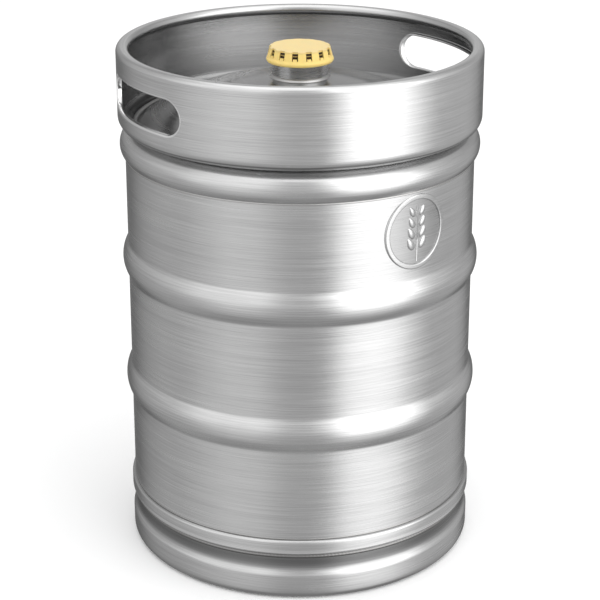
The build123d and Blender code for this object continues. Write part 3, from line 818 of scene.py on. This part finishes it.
def slot_outline(count, growth=0.0):
    """Stadium outline of a hand slot in its flat plane, anticlockwise from the right-hand end."""
    half = (SLOT_WIDTH - (SLOT_HIGH_Z - SLOT_LOW_Z)) / 2
    radius = (SLOT_HIGH_Z - SLOT_LOW_Z) / 2 + growth
    bend = math.pi * radius
    whole = 2 * bend + 4 * half
    points = []
    for index in range(count):
        along = whole * index / count
        if along < bend / 2:
            angle = along / radius
            points.append((half + radius * math.cos(angle), radius * math.sin(angle)))
        elif along < bend / 2 + 2 * half:
            points.append((half - (along - bend / 2), radius))
        elif along < 1.5 * bend + 2 * half:
            angle = math.pi / 2 + (along - bend / 2 - 2 * half) / radius
            points.append((-half + radius * math.cos(angle), radius * math.sin(angle)))
        elif along < 1.5 * bend + 4 * half:
            points.append((-half + (along - 1.5 * bend - 2 * half), -radius))
        else:
            angle = 1.5 * math.pi + (along - 1.5 * bend - 4 * half) / radius
            points.append((half + radius * math.cos(angle), radius * math.sin(angle)))
    return points


PATCH_LOW_Z = 514.5
PATCH_HIGH_Z = 580.0
PATCH_HALF = 30.0
PATCH_STEP = 1.25
PATCH_RINGS = 5
PATCH_ROWS = 8
# The hole in the wall is this share of the lip outside the clear slot, so that the lip covers its edge
HOLE_UNDER_LIP = 0.9
HOLE_FINENESS = 4
# Each point of the patch's edge aims at the hole from this share of its own place across and up
HOLE_AIM = (0.93, 0.98)
# How evenly the hole's points are spaced, against how near they are to their aim
HOLE_EVENNESS = 0.5


def patch_frame():
    """Edge points of the chime's flat patch round a slot, anticlockwise from the right-hand middle."""
    steps = int(2 * PATCH_HALF / PATCH_STEP)
    heights = np.linspace(PATCH_LOW_Z, PATCH_HIGH_Z, PATCH_ROWS + 1)
    angles = np.linspace(-PATCH_HALF, PATCH_HALF, steps + 1)
    right = [(PATCH_HALF, z) for z in heights[PATCH_ROWS // 2:-1]]
    top = [(a, PATCH_HIGH_Z) for a in angles[::-1]]
    left = [(-PATCH_HALF, z) for z in heights[::-1][1:-1]]
    low = [(a, PATCH_LOW_Z) for a in angles]
    rest = [(PATCH_HALF, z) for z in heights[1:PATCH_ROWS // 2]]
    return right + top + left + low + rest, heights


def half_chime():
    """Half of the top chime, centred on one slot: wall patch with its hole, shoulder, roll and plain wall."""
    edge, heights = patch_frame()
    count = len(edge)
    outer_r, inner_r = RIM_R, RIM_R - CHIME_GAUGE
    verts, faces = [], []

    def put_point(angle, radius, z):
        turn = math.radians(angle)
        verts.append((radius * math.sin(turn) * MM, -radius * math.cos(turn) * MM, z * MM))
        return len(verts) - 1

    hole = slot_outline(count * HOLE_FINENESS, SLOT_LIP * HOLE_UNDER_LIP)
    flat_edge = [(RIM_R * math.sin(math.radians(a)), z - SLOT_Z) for a, z in edge]
    spoke = []
    for x, y in flat_edge:
        near = (x * HOLE_AIM[0], y * HOLE_AIM[1])
        spoke.append(min(range(len(hole)), key=lambda i: math.dist(hole[i], near)))
    share = np.unwrap(np.array(spoke) * math.tau / len(hole)) / math.tau * len(hole)
    even = share[0] + np.arange(count) * len(hole) / count
    pick = np.round((1 - HOLE_EVENNESS) * share + HOLE_EVENNESS * even).astype(int) % len(hole)
    rings = {}
    for radius in (outer_r, inner_r):
        layers = []
        for ring in range(PATCH_RINGS + 1):
            t = ring / PATCH_RINGS
            row = []
            for index in range(count):
                hx, hy = hole[pick[index]]
                angle_in = math.degrees(math.asin(hx / radius))
                angle_out, z_out = edge[index]
                angle = angle_in + (angle_out - angle_in) * t
                row.append(put_point(angle, radius, hy + SLOT_Z + (z_out - SLOT_Z - hy) * t))
            layers.append(row)
        rings[radius] = layers
        for low, high in zip(layers, layers[1:]):
            for index in range(count):
                follow = (index + 1) % count
                faces.append((low[index], high[index], high[follow], low[follow]))
    for index in range(count):
        follow = (index + 1) % count
        faces.append((rings[outer_r][0][index], rings[outer_r][0][follow],
                      rings[inner_r][0][follow], rings[inner_r][0][index]))
    shoulder = (RIM_R - TOP_SHOULDER_R, TOP_SHOULDER_Z)
    roll_z = KEG_HEIGHT - RIM_ROLL_R
    outer_roll = (RIM_R - RIM_ROLL_R, roll_z)
    inner_roll = (outer_roll[0] - RIM_LAND, roll_z)
    low_line = arc(shoulder, TOP_SHOULDER_R, TOP_FLANGE_END, 360 - TOP_FLANGE_END, 0.8)
    low_section = sheet(low_line + [(RIM_R, PATCH_LOW_Z)], CHIME_GAUGE)
    high_line = [(RIM_R, PATCH_HIGH_Z), (RIM_R, roll_z)]
    high_line += arc(outer_roll, RIM_ROLL_R, 0, 90, 0.6) + arc(inner_roll, RIM_ROLL_R, 90, 180, 0.8)
    high_section = sheet(high_line, CHIME_GAUGE)
    wide = np.arange(-90, 90 + PATCH_STEP / 2, PATCH_STEP)

    def skin(columns, section):
        grid = [[put_point(a, r, z) for r, z in section] for a in columns]
        for left, right in zip(grid, grid[1:]):
            for index in range(len(section) - 1):
                faces.append((left[index], left[index + 1], right[index + 1], right[index]))

    half = len(low_section) // 2
    skin(wide, low_section[half:] + low_section[:half])
    skin(wide, high_section)
    for radius in (outer_r, inner_r):
        wall = [(radius, z) for z in heights]
        skin(wide[wide <= -PATCH_HALF + 0.01], wall)
        skin(wide[wide >= PATCH_HALF - 0.01], wall)
    return mesh_of("chime_half", verts, faces)


LIP_BEND_R = 2.2
LIP_NOSE_R = 1.0
LIP_PROUD = 0.03


def lip_section():
    """Closed section of a slot's turned-in lip: (distance out from the slot, depth), in metres."""
    line = [(SLOT_LIP + 0.35, -LIP_PROUD)]
    for x, y in (polar(LIP_BEND_R, turn, (LIP_BEND_R, LIP_BEND_R)) for turn in np.linspace(270, 180, 9)):
        line.append((x, y - LIP_PROUD))
    line += [(0.0, SLOT_LIP_DEPTH - LIP_NOSE_R)]
    for turn in np.linspace(165, 90, 5):
        line.append(polar(LIP_NOSE_R, turn, (LIP_NOSE_R, SLOT_LIP_DEPTH - LIP_NOSE_R)))
    line += [(SLOT_LIP - 0.5, SLOT_LIP_DEPTH), (SLOT_LIP, SLOT_LIP_DEPTH - 0.5)]
    line += [(SLOT_LIP, CHIME_GAUGE + 0.9), (SLOT_LIP + 0.3, CHIME_GAUGE + 0.3)]
    line += [(SLOT_LIP + 0.9, CHIME_GAUGE + 0.02), (SLOT_LIP + 0.9, CHIME_GAUGE - 0.4)]
    line += [(SLOT_LIP + 0.35, 0.6)]
    return [(away * MM, -depth * MM) for away, depth in line]


HALF_TURN = {"Count": 2, "First Angle": math.radians(SLOT_AZIMUTH)}
chime = grow("chime_top", half_chime(), CHIME_STEEL, (REPEATED, HALF_TURN), sharp=50)
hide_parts("top_chime")

LIP_STEPS = 150
lip_profile = add_object("lip_profile", loop_mesh("lip_profile", [(x, -y) for x, y in lip_section()]))
grow(
    "slot_lips",
    loop_mesh("slot_lips", [(x * MM, y * MM) for x, y in slot_outline(LIP_STEPS)]),
    LIP_HIGHLIGHT_STEEL,
    (SWEPT, {"Section": lip_profile}),
    (WRAPPED, {"Barrel Radius": RIM_R * MM, "Height": SLOT_Z * MM, "Azimuth": 0.0}),
    (REPEATED, HALF_TURN),
    slot="chime_steel",
    sharp=50,
    scrap=lip_profile,
)


# Welds

def arc_over(start, end, proud):
    """Low arch from one point to another, standing proud on the outer side."""
    count = 8
    points = []
    dx, dz = end[0] - start[0], end[1] - start[1]
    long = math.hypot(dx, dz)
    for index in range(count + 1):
        t = index / count
        lift = 4 * proud * t * (1 - t)
        points.append((start[0] + dx * t + dz / long * lift, start[1] + dz * t - dx / long * lift))
    return points


def lower_seam_section():
    """Seam between the wall and the bottom head."""
    inner_r = BODY_R - SHELL_GAUGE
    high = LOWER_SEAM_Z + SEAM_WIDTH
    crown = arc_over((BODY_R, LOWER_SEAM_Z), (BODY_R, high), SEAM_CROWN)
    return [(inner_r, LOWER_SEAM_Z), *crown, (inner_r, high)]


def upper_seam_section():
    """Seam between the wall and the top head's knuckle."""
    inner = polar(TOP_KNUCKLE_R - SHELL_GAUGE, seam_start(), top_knuckle()[0])
    low = UPPER_SEAM_Z - SEAM_WIDTH
    crown = arc_over((BODY_R, low), (BODY_R, UPPER_SEAM_Z), SEAM_CROWN)
    return [(BODY_R - SHELL_GAUGE, low), *crown, inner]


def top_bead_section():
    """Fillet between the top head and the chime's flange."""
    shoulder = (RIM_R - TOP_SHOULDER_R, TOP_SHOULDER_Z)
    dome_z = top_knuckle()[1]
    low = polar(TOP_SHOULDER_R, TOP_FLANGE_END, shoulder)
    high = polar(TOP_SHOULDER_R - CHIME_GAUGE, TOP_FLANGE_END, shoulder)
    toe = dome(low[0] - TOP_WELD_LEG, TOP_DOME_R, dome_z)
    heel = dome(low[0], TOP_DOME_R, dome_z)
    return [heel, low, *arc_over(toe, high, -TOP_BEAD_CROWN)[::-1]]


def bottom_bead_section():
    """Bead between the bottom head and the foot skirt."""
    dome_z = base_knuckle()[1]
    inner_r = FOOT_NECK_R - CHIME_GAUGE
    outer_top = dome(FOOT_NECK_R, BOTTOM_DOME_R, dome_z, -1)
    inner_top = dome(inner_r, BOTTOM_DOME_R, dome_z, -1)
    face = arc_over((FOOT_NECK_R, FOOT_TOP_Z), outer_top, SEAM_WIDTH)
    return [*face, inner_top, (inner_r, FOOT_TOP_Z)]


def neck_bead_section():
    """Fillet round the foot of the neck."""
    dome_z = top_knuckle()[1]
    toe = dome(NECK_R + NECK_BEAD, TOP_DOME_R, dome_z)
    top = (NECK_R, NECK_JOINT_Z + NECK_BEAD)
    return [(NECK_R, NECK_JOINT_Z), *arc_over(toe, top, NECK_BEAD_CROWN)]


# Weld ripples, as (count round the keg, height in millimetres, bow)
SEAM_RIPPLE = (420, 0.03, 20)
BEAD_RIPPLE = (300, 0.07, 30)
NECK_RIPPLE = (90, 0.06, 30)
BEAD_SEGMENTS = 1440
NECK_SEGMENTS = 480

for name, section, node, segments, ripple in (
    ("seam_upper", upper_seam_section(), "upper_girth_weld", SEGMENTS, SEAM_RIPPLE),
    ("seam_lower", lower_seam_section(), "lower_girth_weld", SEGMENTS, SEAM_RIPPLE),
    ("bead_chime_top", top_bead_section(), "top_chime_weld", BEAD_SEGMENTS, BEAD_RIPPLE),
    ("bead_chime_bottom", bottom_bead_section(), "bottom_chime_weld", BEAD_SEGMENTS, BEAD_RIPPLE),
    ("bead_neck", neck_bead_section(), "neck_weld", NECK_SEGMENTS, NECK_RIPPLE),
):
    turned_piece(name, section, WELD_STEEL, node, segments=segments, ripple=ripple)


# Medallion: a generic round badge with a barley ear

BADGE_AT = {"Barrel Radius": BODY_R * MM, "Height": BADGE_Z * MM, "Azimuth": math.radians(BADGE_AZIMUTH)}


BADGE_SEGMENTS = 144
BADGE_FOOT = -0.8
BADGE_FIELD = 0.3
BADGE_FIELD_EDGE = 2.0
BADGE_RING_R = 1.6
BADGE_RING_WIDTH = 6.2
KERNEL_HALF = 4.9
KERNEL_LONG = 8.4
KERNEL_PROUD = 2.4
KERNEL_POINT = 0.22
EAR_SIZES = {
    "Rows": 4,
    "Pitch": 12.0 * MM,
    "Half Width": 8.6 * MM,
    "Lean": math.radians(32),
    "Taper": 0.06,
    "Lowest": -13.0 * MM,
}
STEM_FOOT = -33.0
STEM_TIP = 30.0
STEM_HALF = 2.2
STEM_TAPER = 1.2
STEM_ROWS = 30


def badge_section():
    """Closed (radius, height) section of the badge's sunk field."""
    edge = BADGE_R - BADGE_FIELD_EDGE
    field = [(r, BADGE_FIELD) for r in np.linspace(edge - 2.0, 0, 10)]
    return [(0, BADGE_FOOT), (edge, BADGE_FOOT), (edge, BADGE_FIELD - 0.05)] + field


def badge_ring_section():
    """Closed (radius, height) section of the badge's raised ring, rounded on both sides."""
    inner = BADGE_R - BADGE_RING_WIDTH
    crown = arc((BADGE_R - BADGE_RING_R, BADGE_FIELD), BADGE_RING_R, 0, 90, 0.3)
    crown += arc((inner + BADGE_RING_R, BADGE_FIELD), BADGE_RING_R, 90, 90, 0.3)
    return crown + [(inner, BADGE_FOOT), (BADGE_R, BADGE_FOOT)]


def kernel_mesh():
    """One flattened seed, domed on top, pointing up."""
    verts, faces = [(0.0, 0.0, KERNEL_PROUD * MM)], []
    rings, around = 5, 20
    for ring in range(1, rings + 1):
        t = ring / rings
        lift = KERNEL_PROUD * math.sqrt(max(0.0, 1 - t ** 2.4)) - 0.4 * t
        for step in range(around):
            angle = math.tau * step / around
            pull = 1.0 - KERNEL_POINT * math.sin(angle) * t
            across = KERNEL_HALF * t * math.cos(angle) * pull
            verts.append((across * MM, KERNEL_LONG * t * math.sin(angle) * MM, lift * MM))
    for step in range(around):
        faces.append((0, 1 + step, 1 + (step + 1) % around))
    for ring in range(rings - 1):
        for step in range(around):
            a = 1 + ring * around + step
            b = 1 + ring * around + (step + 1) % around
            faces.append((a, a + around, b + around, b))
    faces.append(tuple(1 + (rings - 1) * around + step for step in range(around))[::-1])
    return mesh_of("kernel", verts, faces)


def stem_mesh():
    """Raised stem with its awn tip, tapering upwards."""
    verts, faces = [], []
    section = [(-1, -0.4), (-0.7, 1.1), (0, 1.8), (0.7, 1.1), (1, -0.4)]
    size = len(section)
    for y in np.linspace(STEM_FOOT, STEM_TIP, STEM_ROWS):
        half = STEM_HALF - STEM_TAPER * (y - STEM_FOOT) / (STEM_TIP - STEM_FOOT)
        verts += [(half * x * MM, y * MM, z * MM) for x, z in section]
    for row in range(STEM_ROWS - 1):
        for index in range(size):
            a = row * size + index
            b = row * size + (index + 1) % size
            faces.append((a, b, b + size, a + size))
    faces.append(tuple(range(size))[::-1])
    faces.append(tuple(range((STEM_ROWS - 1) * size, STEM_ROWS * size)))
    return mesh_of("stem", verts, faces)


def badge_piece(name, mesh, material, *steps, sharp=40):
    """Flat work of the badge, bent on to the wall."""
    grow(name, mesh, material, *steps, (WRAPPED, BADGE_AT), slot="shell_steel", sharp=sharp)


BADGE_TURN = (TURNED, {"Segments": BADGE_SEGMENTS, "Path Radius": PATH_RADIUS * MM})
badge_piece("badge_plate", section_mesh("badge_plate", badge_section()), BADGE_STEEL, BADGE_TURN)
badge_piece("badge_ring", section_mesh("badge_ring", badge_ring_section()), SHELL_STEEL, BADGE_TURN)
badge_piece("badge_kernels", kernel_mesh(), SHELL_STEEL, (EAR, EAR_SIZES))
badge_piece("badge_stem", stem_mesh(), SHELL_STEEL, sharp=60)


# Dust cap

CAP_BAYS = 14
CAP_FIRST = -9.0
CAP_MEAN_R = 36.5
CAP_SIDE_R = 36.6
CAP_SIDE_Z = 574.2
CAP_SIDE_LEAN = 0.26
CAP_INSIDE_Z = 583.7
WINDOW_HALF = 3.5
SLIT_WIDTH = 1.1
WINDOW_LOW = 577.6
WINDOW_HIGH = 583.4
WINDOW_FLOOR = 32.7
SLIT_LOW = 575.4
SLIT_FLOOR = WINDOW_FLOOR + 0.9
NOTCH_FLOOR = 32.3
HOOK_LOW = 580.0
HOOK_HIGH = 581.2
HOOK_HALF = WINDOW_HALF - 0.5
HOOK_FACE = WINDOW_FLOOR + 1.2
LID_EDGE = 34.2
LID_ROUND = 1.4
LID_Z = 585.5
LID_DISH = 0.25
# Rows and columns lie this far each side of a window's edges, so that its walls stand nearly square
EDGE_ROWS = 0.08
EDGE_COLUMNS = 0.06


def cap_outer_line():
    """The cap's outer side from its foot up over the corner to the middle of the lid."""
    line = [(36.9, 568.8), (37.3, 569.3), (37.6, 569.9), (37.7, 570.7), (37.7, 571.6), (37.5, 572.4)]
    line += [(37.1, 573.2)]
    marks = [CAP_SIDE_Z]
    for level in (SLIT_LOW, WINDOW_LOW, HOOK_LOW, HOOK_HIGH, WINDOW_HIGH):
        marks += [level - EDGE_ROWS, level + EDGE_ROWS]
    marks += [576.5, 579.0]
    line += [(CAP_SIDE_R - (z - CAP_SIDE_Z) * CAP_SIDE_LEAN, z) for z in sorted(marks)]
    line += [polar(LID_ROUND, turn, (LID_EDGE - LID_ROUND, LID_Z - LID_ROUND)) for turn in (12, 30, 50, 70)]
    line += [(r, LID_Z) for r in (LID_EDGE - LID_ROUND, NOTCH_FLOOR - 0.1, 31.6)]
    line += [(30.6, LID_Z - 0.08), (30.0, LID_Z - 0.22), (28.8, LID_Z - LID_DISH)]
    line += [(r, LID_Z - LID_DISH) for r in (26, 22, 18, 14, 10, 6, 3, 1, 0)]
    return line


def window_depth(across, height):
    """Radius of the cut surface behind a window or its notch in the lid, or None where the wall is whole."""
    width = abs(across)
    if width > WINDOW_HALF or height < SLIT_LOW:
        return None
    if height < WINDOW_LOW:
        return SLIT_FLOOR if width > WINDOW_HALF - SLIT_WIDTH else None
    if HOOK_LOW < height < HOOK_HIGH and width < HOOK_HALF:
        return HOOK_FACE
    return NOTCH_FLOOR if height > WINDOW_HIGH else WINDOW_FLOOR


def cap_bay():
    """One fourteenth of the cap, window in the middle, as a closed ring of rows from axis to axis.

    The attribute deep carries the painted shade on each point of a window's floor.
    """
    outer = cap_outer_line()
    inner = [(r, CAP_INSIDE_Z) for r in (0, 10, 20, 29, 31.3)]
    inner += [(31.7, 582), (31.9, 577), (33.2, 575.4), (35.0, 572), (35.2, 570.2), (35.6, 568.8)]
    half = math.pi / CAP_BAYS
    edges = []
    for mark in (WINDOW_HALF, HOOK_HALF, WINDOW_HALF - SLIT_WIDTH):
        edges += [mark - EDGE_COLUMNS, mark + EDGE_COLUMNS]
    widths = sorted({0.0, 0.9, 1.8, *edges, 4.6, 5.6, 6.8})
    lines = [-w for w in widths[::-1] if w > 0] + widths
    columns = [-half] + [w / CAP_MEAN_R for w in lines] + [half]
    verts, faces, deep = [], [], []

    def put_point(angle, radius, height, shade):
        verts.append((radius * math.sin(angle) * MM, -radius * math.cos(angle) * MM, height * MM))
        deep.append(shade)

    for angle in columns:
        for radius, height in outer:
            floor_r = window_depth(angle * CAP_MEAN_R, height)
            if floor_r is None or radius <= floor_r:
                put_point(angle, radius, height, 0.0)
            elif height >= WINDOW_HIGH:
                put_point(angle, floor_r, height, 0.0)
            else:
                # Painted shade: near black on the window floors, lighter on the hooks
                put_point(angle, floor_r, height, 1.0 if floor_r < HOOK_FACE - 0.2 else 0.6)
        for radius, height in inner:
            put_point(angle, radius, height, 0.0)
    size = len(outer) + len(inner)
    for column in range(len(columns) - 1):
        for index in range(size):
            a = column * size + index
            b = column * size + (index + 1) % size
            faces.append((a, b, b + size, a + size))
    mesh = mesh_of("cap_bay", verts, faces)
    mesh.attributes.new("deep", "FLOAT", "POINT").data.foreach_set("value", deep)
    return mesh


CAP_TURN = {"Count": CAP_BAYS, "First Angle": math.radians(CAP_FIRST)}
cap = grow("dust_cap_shell", cap_bay(), CAP_PLASTIC, (REPEATED, CAP_TURN), body="cap", sharp=38)
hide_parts("dust_cap")


# Springs

def coil(name, node, wire, turns, body):
    """Spring inside its solid's box (wire in millimetres)."""
    low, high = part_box(node)
    radius = wire * MM / 2
    sizes = {
        "Turns": float(turns),
        "Coil Radius": high[0] - radius,
        "Wire Radius": radius,
        "Foot": low[2] + radius,
        "Rise": high[2] - low[2] - 2 * radius,
    }
    piece = grow(name, bpy.data.meshes.new(name), SPRING_STEEL, (COIL, sizes), body=body, sharp=60)
    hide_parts(node)
    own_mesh(piece)


coil("gas_spring_coil", "gas_spring", wire=2.2, turns=8, body="keg")
coil("ball_spring_coil", "ball_spring", wire=1.0, turns=5, body="spear")


# CAD pieces that stay, with their own finishes

STAYING = {
    "neck_fitting": NECK_STEEL,
    "neck_seal": SEAL_RUBBER,
    "valve_body": VALVE_STEEL,
    "retaining_ring": SPRING_STEEL,
    "gas_seal": SEAL_RUBBER,
    "seal_cup": VALVE_STEEL,
    "down_tube": TUBE_STEEL,
    "ball_spring_perch": VALVE_STEEL,
    "spring_cage": VALVE_STEEL,
    "beer_ball": BALL_STEEL,
}
for node, material in STAYING.items():
    for slot in frame["nodes"][node].material_slots:
        slot.material = material


# Floor, light and camera

def floor():
    """White studio floor that the steel doesn't mirror."""
    size = 30.0
    corners = [(-size, -size, 0), (size, -size, 0), (size, size, 0), (-size, size, 0)]
    piece = add_object("studio_floor", mesh_of("studio_floor", corners, [(0, 1, 2, 3)]))
    material = new_material("studio_floor", Base_Color=(0.92, 0.92, 0.92, 1), Roughness=0.9)[0]
    piece.data.materials.append(material)
    piece.visible_glossy = False


LAMP_AIM = (0, 0, 0.3)


def softbox(name, azimuth, elevation, distance, width, height, power):
    """Rectangular studio light that the steel doesn't mirror; azimuth runs from the front towards +X."""
    light = bpy.data.lights.new(name, "AREA")
    light.shape = "RECTANGLE"
    light.size, light.size_y = width, height
    light.energy = power
    lamp = add_object(name, light)
    a, e = math.radians(azimuth), math.radians(elevation)
    direction = Vector((math.sin(a) * math.cos(e), -math.cos(a) * math.cos(e), math.sin(e)))
    lamp.location = Vector(LAMP_AIM) + direction * distance
    lamp.rotation_euler = direction.to_track_quat("Z", "Y").to_euler()
    lamp.visible_glossy = False


# Brightness of the studio seen in the steel, by azimuth from the front towards +X: a little below eye level,
# further down, and up where the softboxes are. The pairs of elevations are where one changes to the next.
LOW_STUDIO = (
    (-180, 0.45), (-162, 0.16), (-146, 0.18), (-125, 0.40), (-105, 0.52), (-86, 0.56), (-68, 0.70),
    (-47, 0.88), (-28, 0.86), (-10, 0.60), (4, 0.55), (16, 0.60), (23, 1.10), (32, 1.90), (50, 2.10),
    (66, 1.85), (77, 1.20), (92, 0.62), (110, 0.58), (128, 0.56), (142, 0.40), (154, 0.16), (166, 0.18),
    (180, 0.45),
)
DEEP_STUDIO = (
    (-180, 0.40), (-162, 0.14), (-146, 0.16), (-125, 0.36), (-105, 0.47), (-86, 0.50), (-68, 0.62),
    (-47, 0.74), (-28, 0.72), (-10, 0.53), (4, 0.50), (16, 0.54), (24, 0.76), (34, 1.05), (50, 1.16),
    (64, 1.05), (78, 0.74), (92, 0.58), (110, 0.54), (128, 0.52), (142, 0.38), (154, 0.15), (166, 0.17),
    (180, 0.40),
)
HIGH_STUDIO = (
    (-180, 0.60), (-150, 0.35), (-110, 0.60), (-85, 0.80), (-66, 1.15), (-24, 1.25), (-8, 0.70),
    (8, 0.65), (18, 1.20), (30, 2.30), (72, 2.30), (90, 0.90), (120, 0.60), (150, 0.40), (180, 0.60),
)
STUDIO_PEAK = 3.0
TOP_LIGHT = 1.5
GROUND_LIGHT = 0.40
GROUND_TO_WALLS = (-64.0, -30.0)
DEEP_TO_LOW = (-31.0, -17.0)
LOW_TO_HIGH = (-13.0, 10.0)
WALLS_TO_TOP = (42.0, 72.0)


def studio_ramp(tree, azimuth, stops):
    """Brightness against azimuth, in degrees."""
    share = spread(tree, azimuth, -180.0, 180.0, 0.0, 1.0)
    ramp = put(tree, "ShaderNodeValToRGB", {"Fac": share})
    levels = fill_ramp(ramp, [((angle + 180) / 360, level / STUDIO_PEAK) for angle, level in stops])
    return times(tree, levels, STUDIO_PEAK)


def smooth(tree, value, limits):
    """Share of the way between two limits, eased at both."""
    return out(
        tree, "ShaderNodeMapRange",
        {"Value": value, "From Min": limits[0], "From Max": limits[1], "To Min": 0.0, "To Max": 1.0},
        interpolation_type="SMOOTHSTEP",
    )


def world(level):
    """Even white light for the floor; the steel sees a studio of softboxes and dark flags."""
    sky = bpy.data.worlds.new("studio")
    sky.use_nodes = True
    tree = sky.node_tree
    part = split(tree, put(tree, "ShaderNodeTexCoord").outputs["Generated"])
    azimuth = calc(tree, "DEGREES", calc(tree, "ARCTAN2", part[0], times(tree, part[1], -1.0)))
    height = calc(tree, "DEGREES", calc(tree, "ARCSINE", part[2]))
    deep = studio_ramp(tree, azimuth, DEEP_STUDIO)
    low = studio_ramp(tree, azimuth, LOW_STUDIO)
    high = studio_ramp(tree, azimuth, HIGH_STUDIO)
    walls = blended(tree, deep, low, smooth(tree, height, DEEP_TO_LOW))
    walls = blended(tree, walls, high, smooth(tree, height, LOW_TO_HIGH))
    lower = blended(tree, GROUND_LIGHT, walls, smooth(tree, height, GROUND_TO_WALLS))
    bright = blended(tree, lower, TOP_LIGHT, smooth(tree, height, WALLS_TO_TOP))
    glossy = put(tree, "ShaderNodeLightPath").outputs["Is Glossy Ray"]
    tree.links.new(blended(tree, level, bright, glossy), tree.nodes["Background"].inputs["Strength"])
    tree.nodes["Background"].inputs[0].default_value = (1, 1, 1, 1)
    bpy.context.scene.world = sky


ROOM_LIGHT = 1.14

floor()
world(ROOM_LIGHT)
softbox("key_right", 50, 30, 2.8, 2.4, 2.0, 22)
softbox("overhead", 0, 80, 3.0, 2.4, 2.4, 14)

DISTANCE = 2.0137
EYE_HEIGHT = 1.0652
PITCH = 19.72
SENSOR = 36.0
LENS = 110.82
SHIFT = -1 / 12
camera_data = bpy.data.cameras.new("view")
camera_data.sensor_width = SENSOR
camera_data.lens = LENS
camera_data.shift_y = SHIFT
camera_data.clip_end = 100
camera = add_object("view", camera_data)
camera.location = (0, -DISTANCE, EYE_HEIGHT)
camera.rotation_euler = (math.radians(90 - PITCH), 0, 0)
bpy.context.scene.camera = camera
bpy.context.scene.view_settings.view_transform = "Standard"
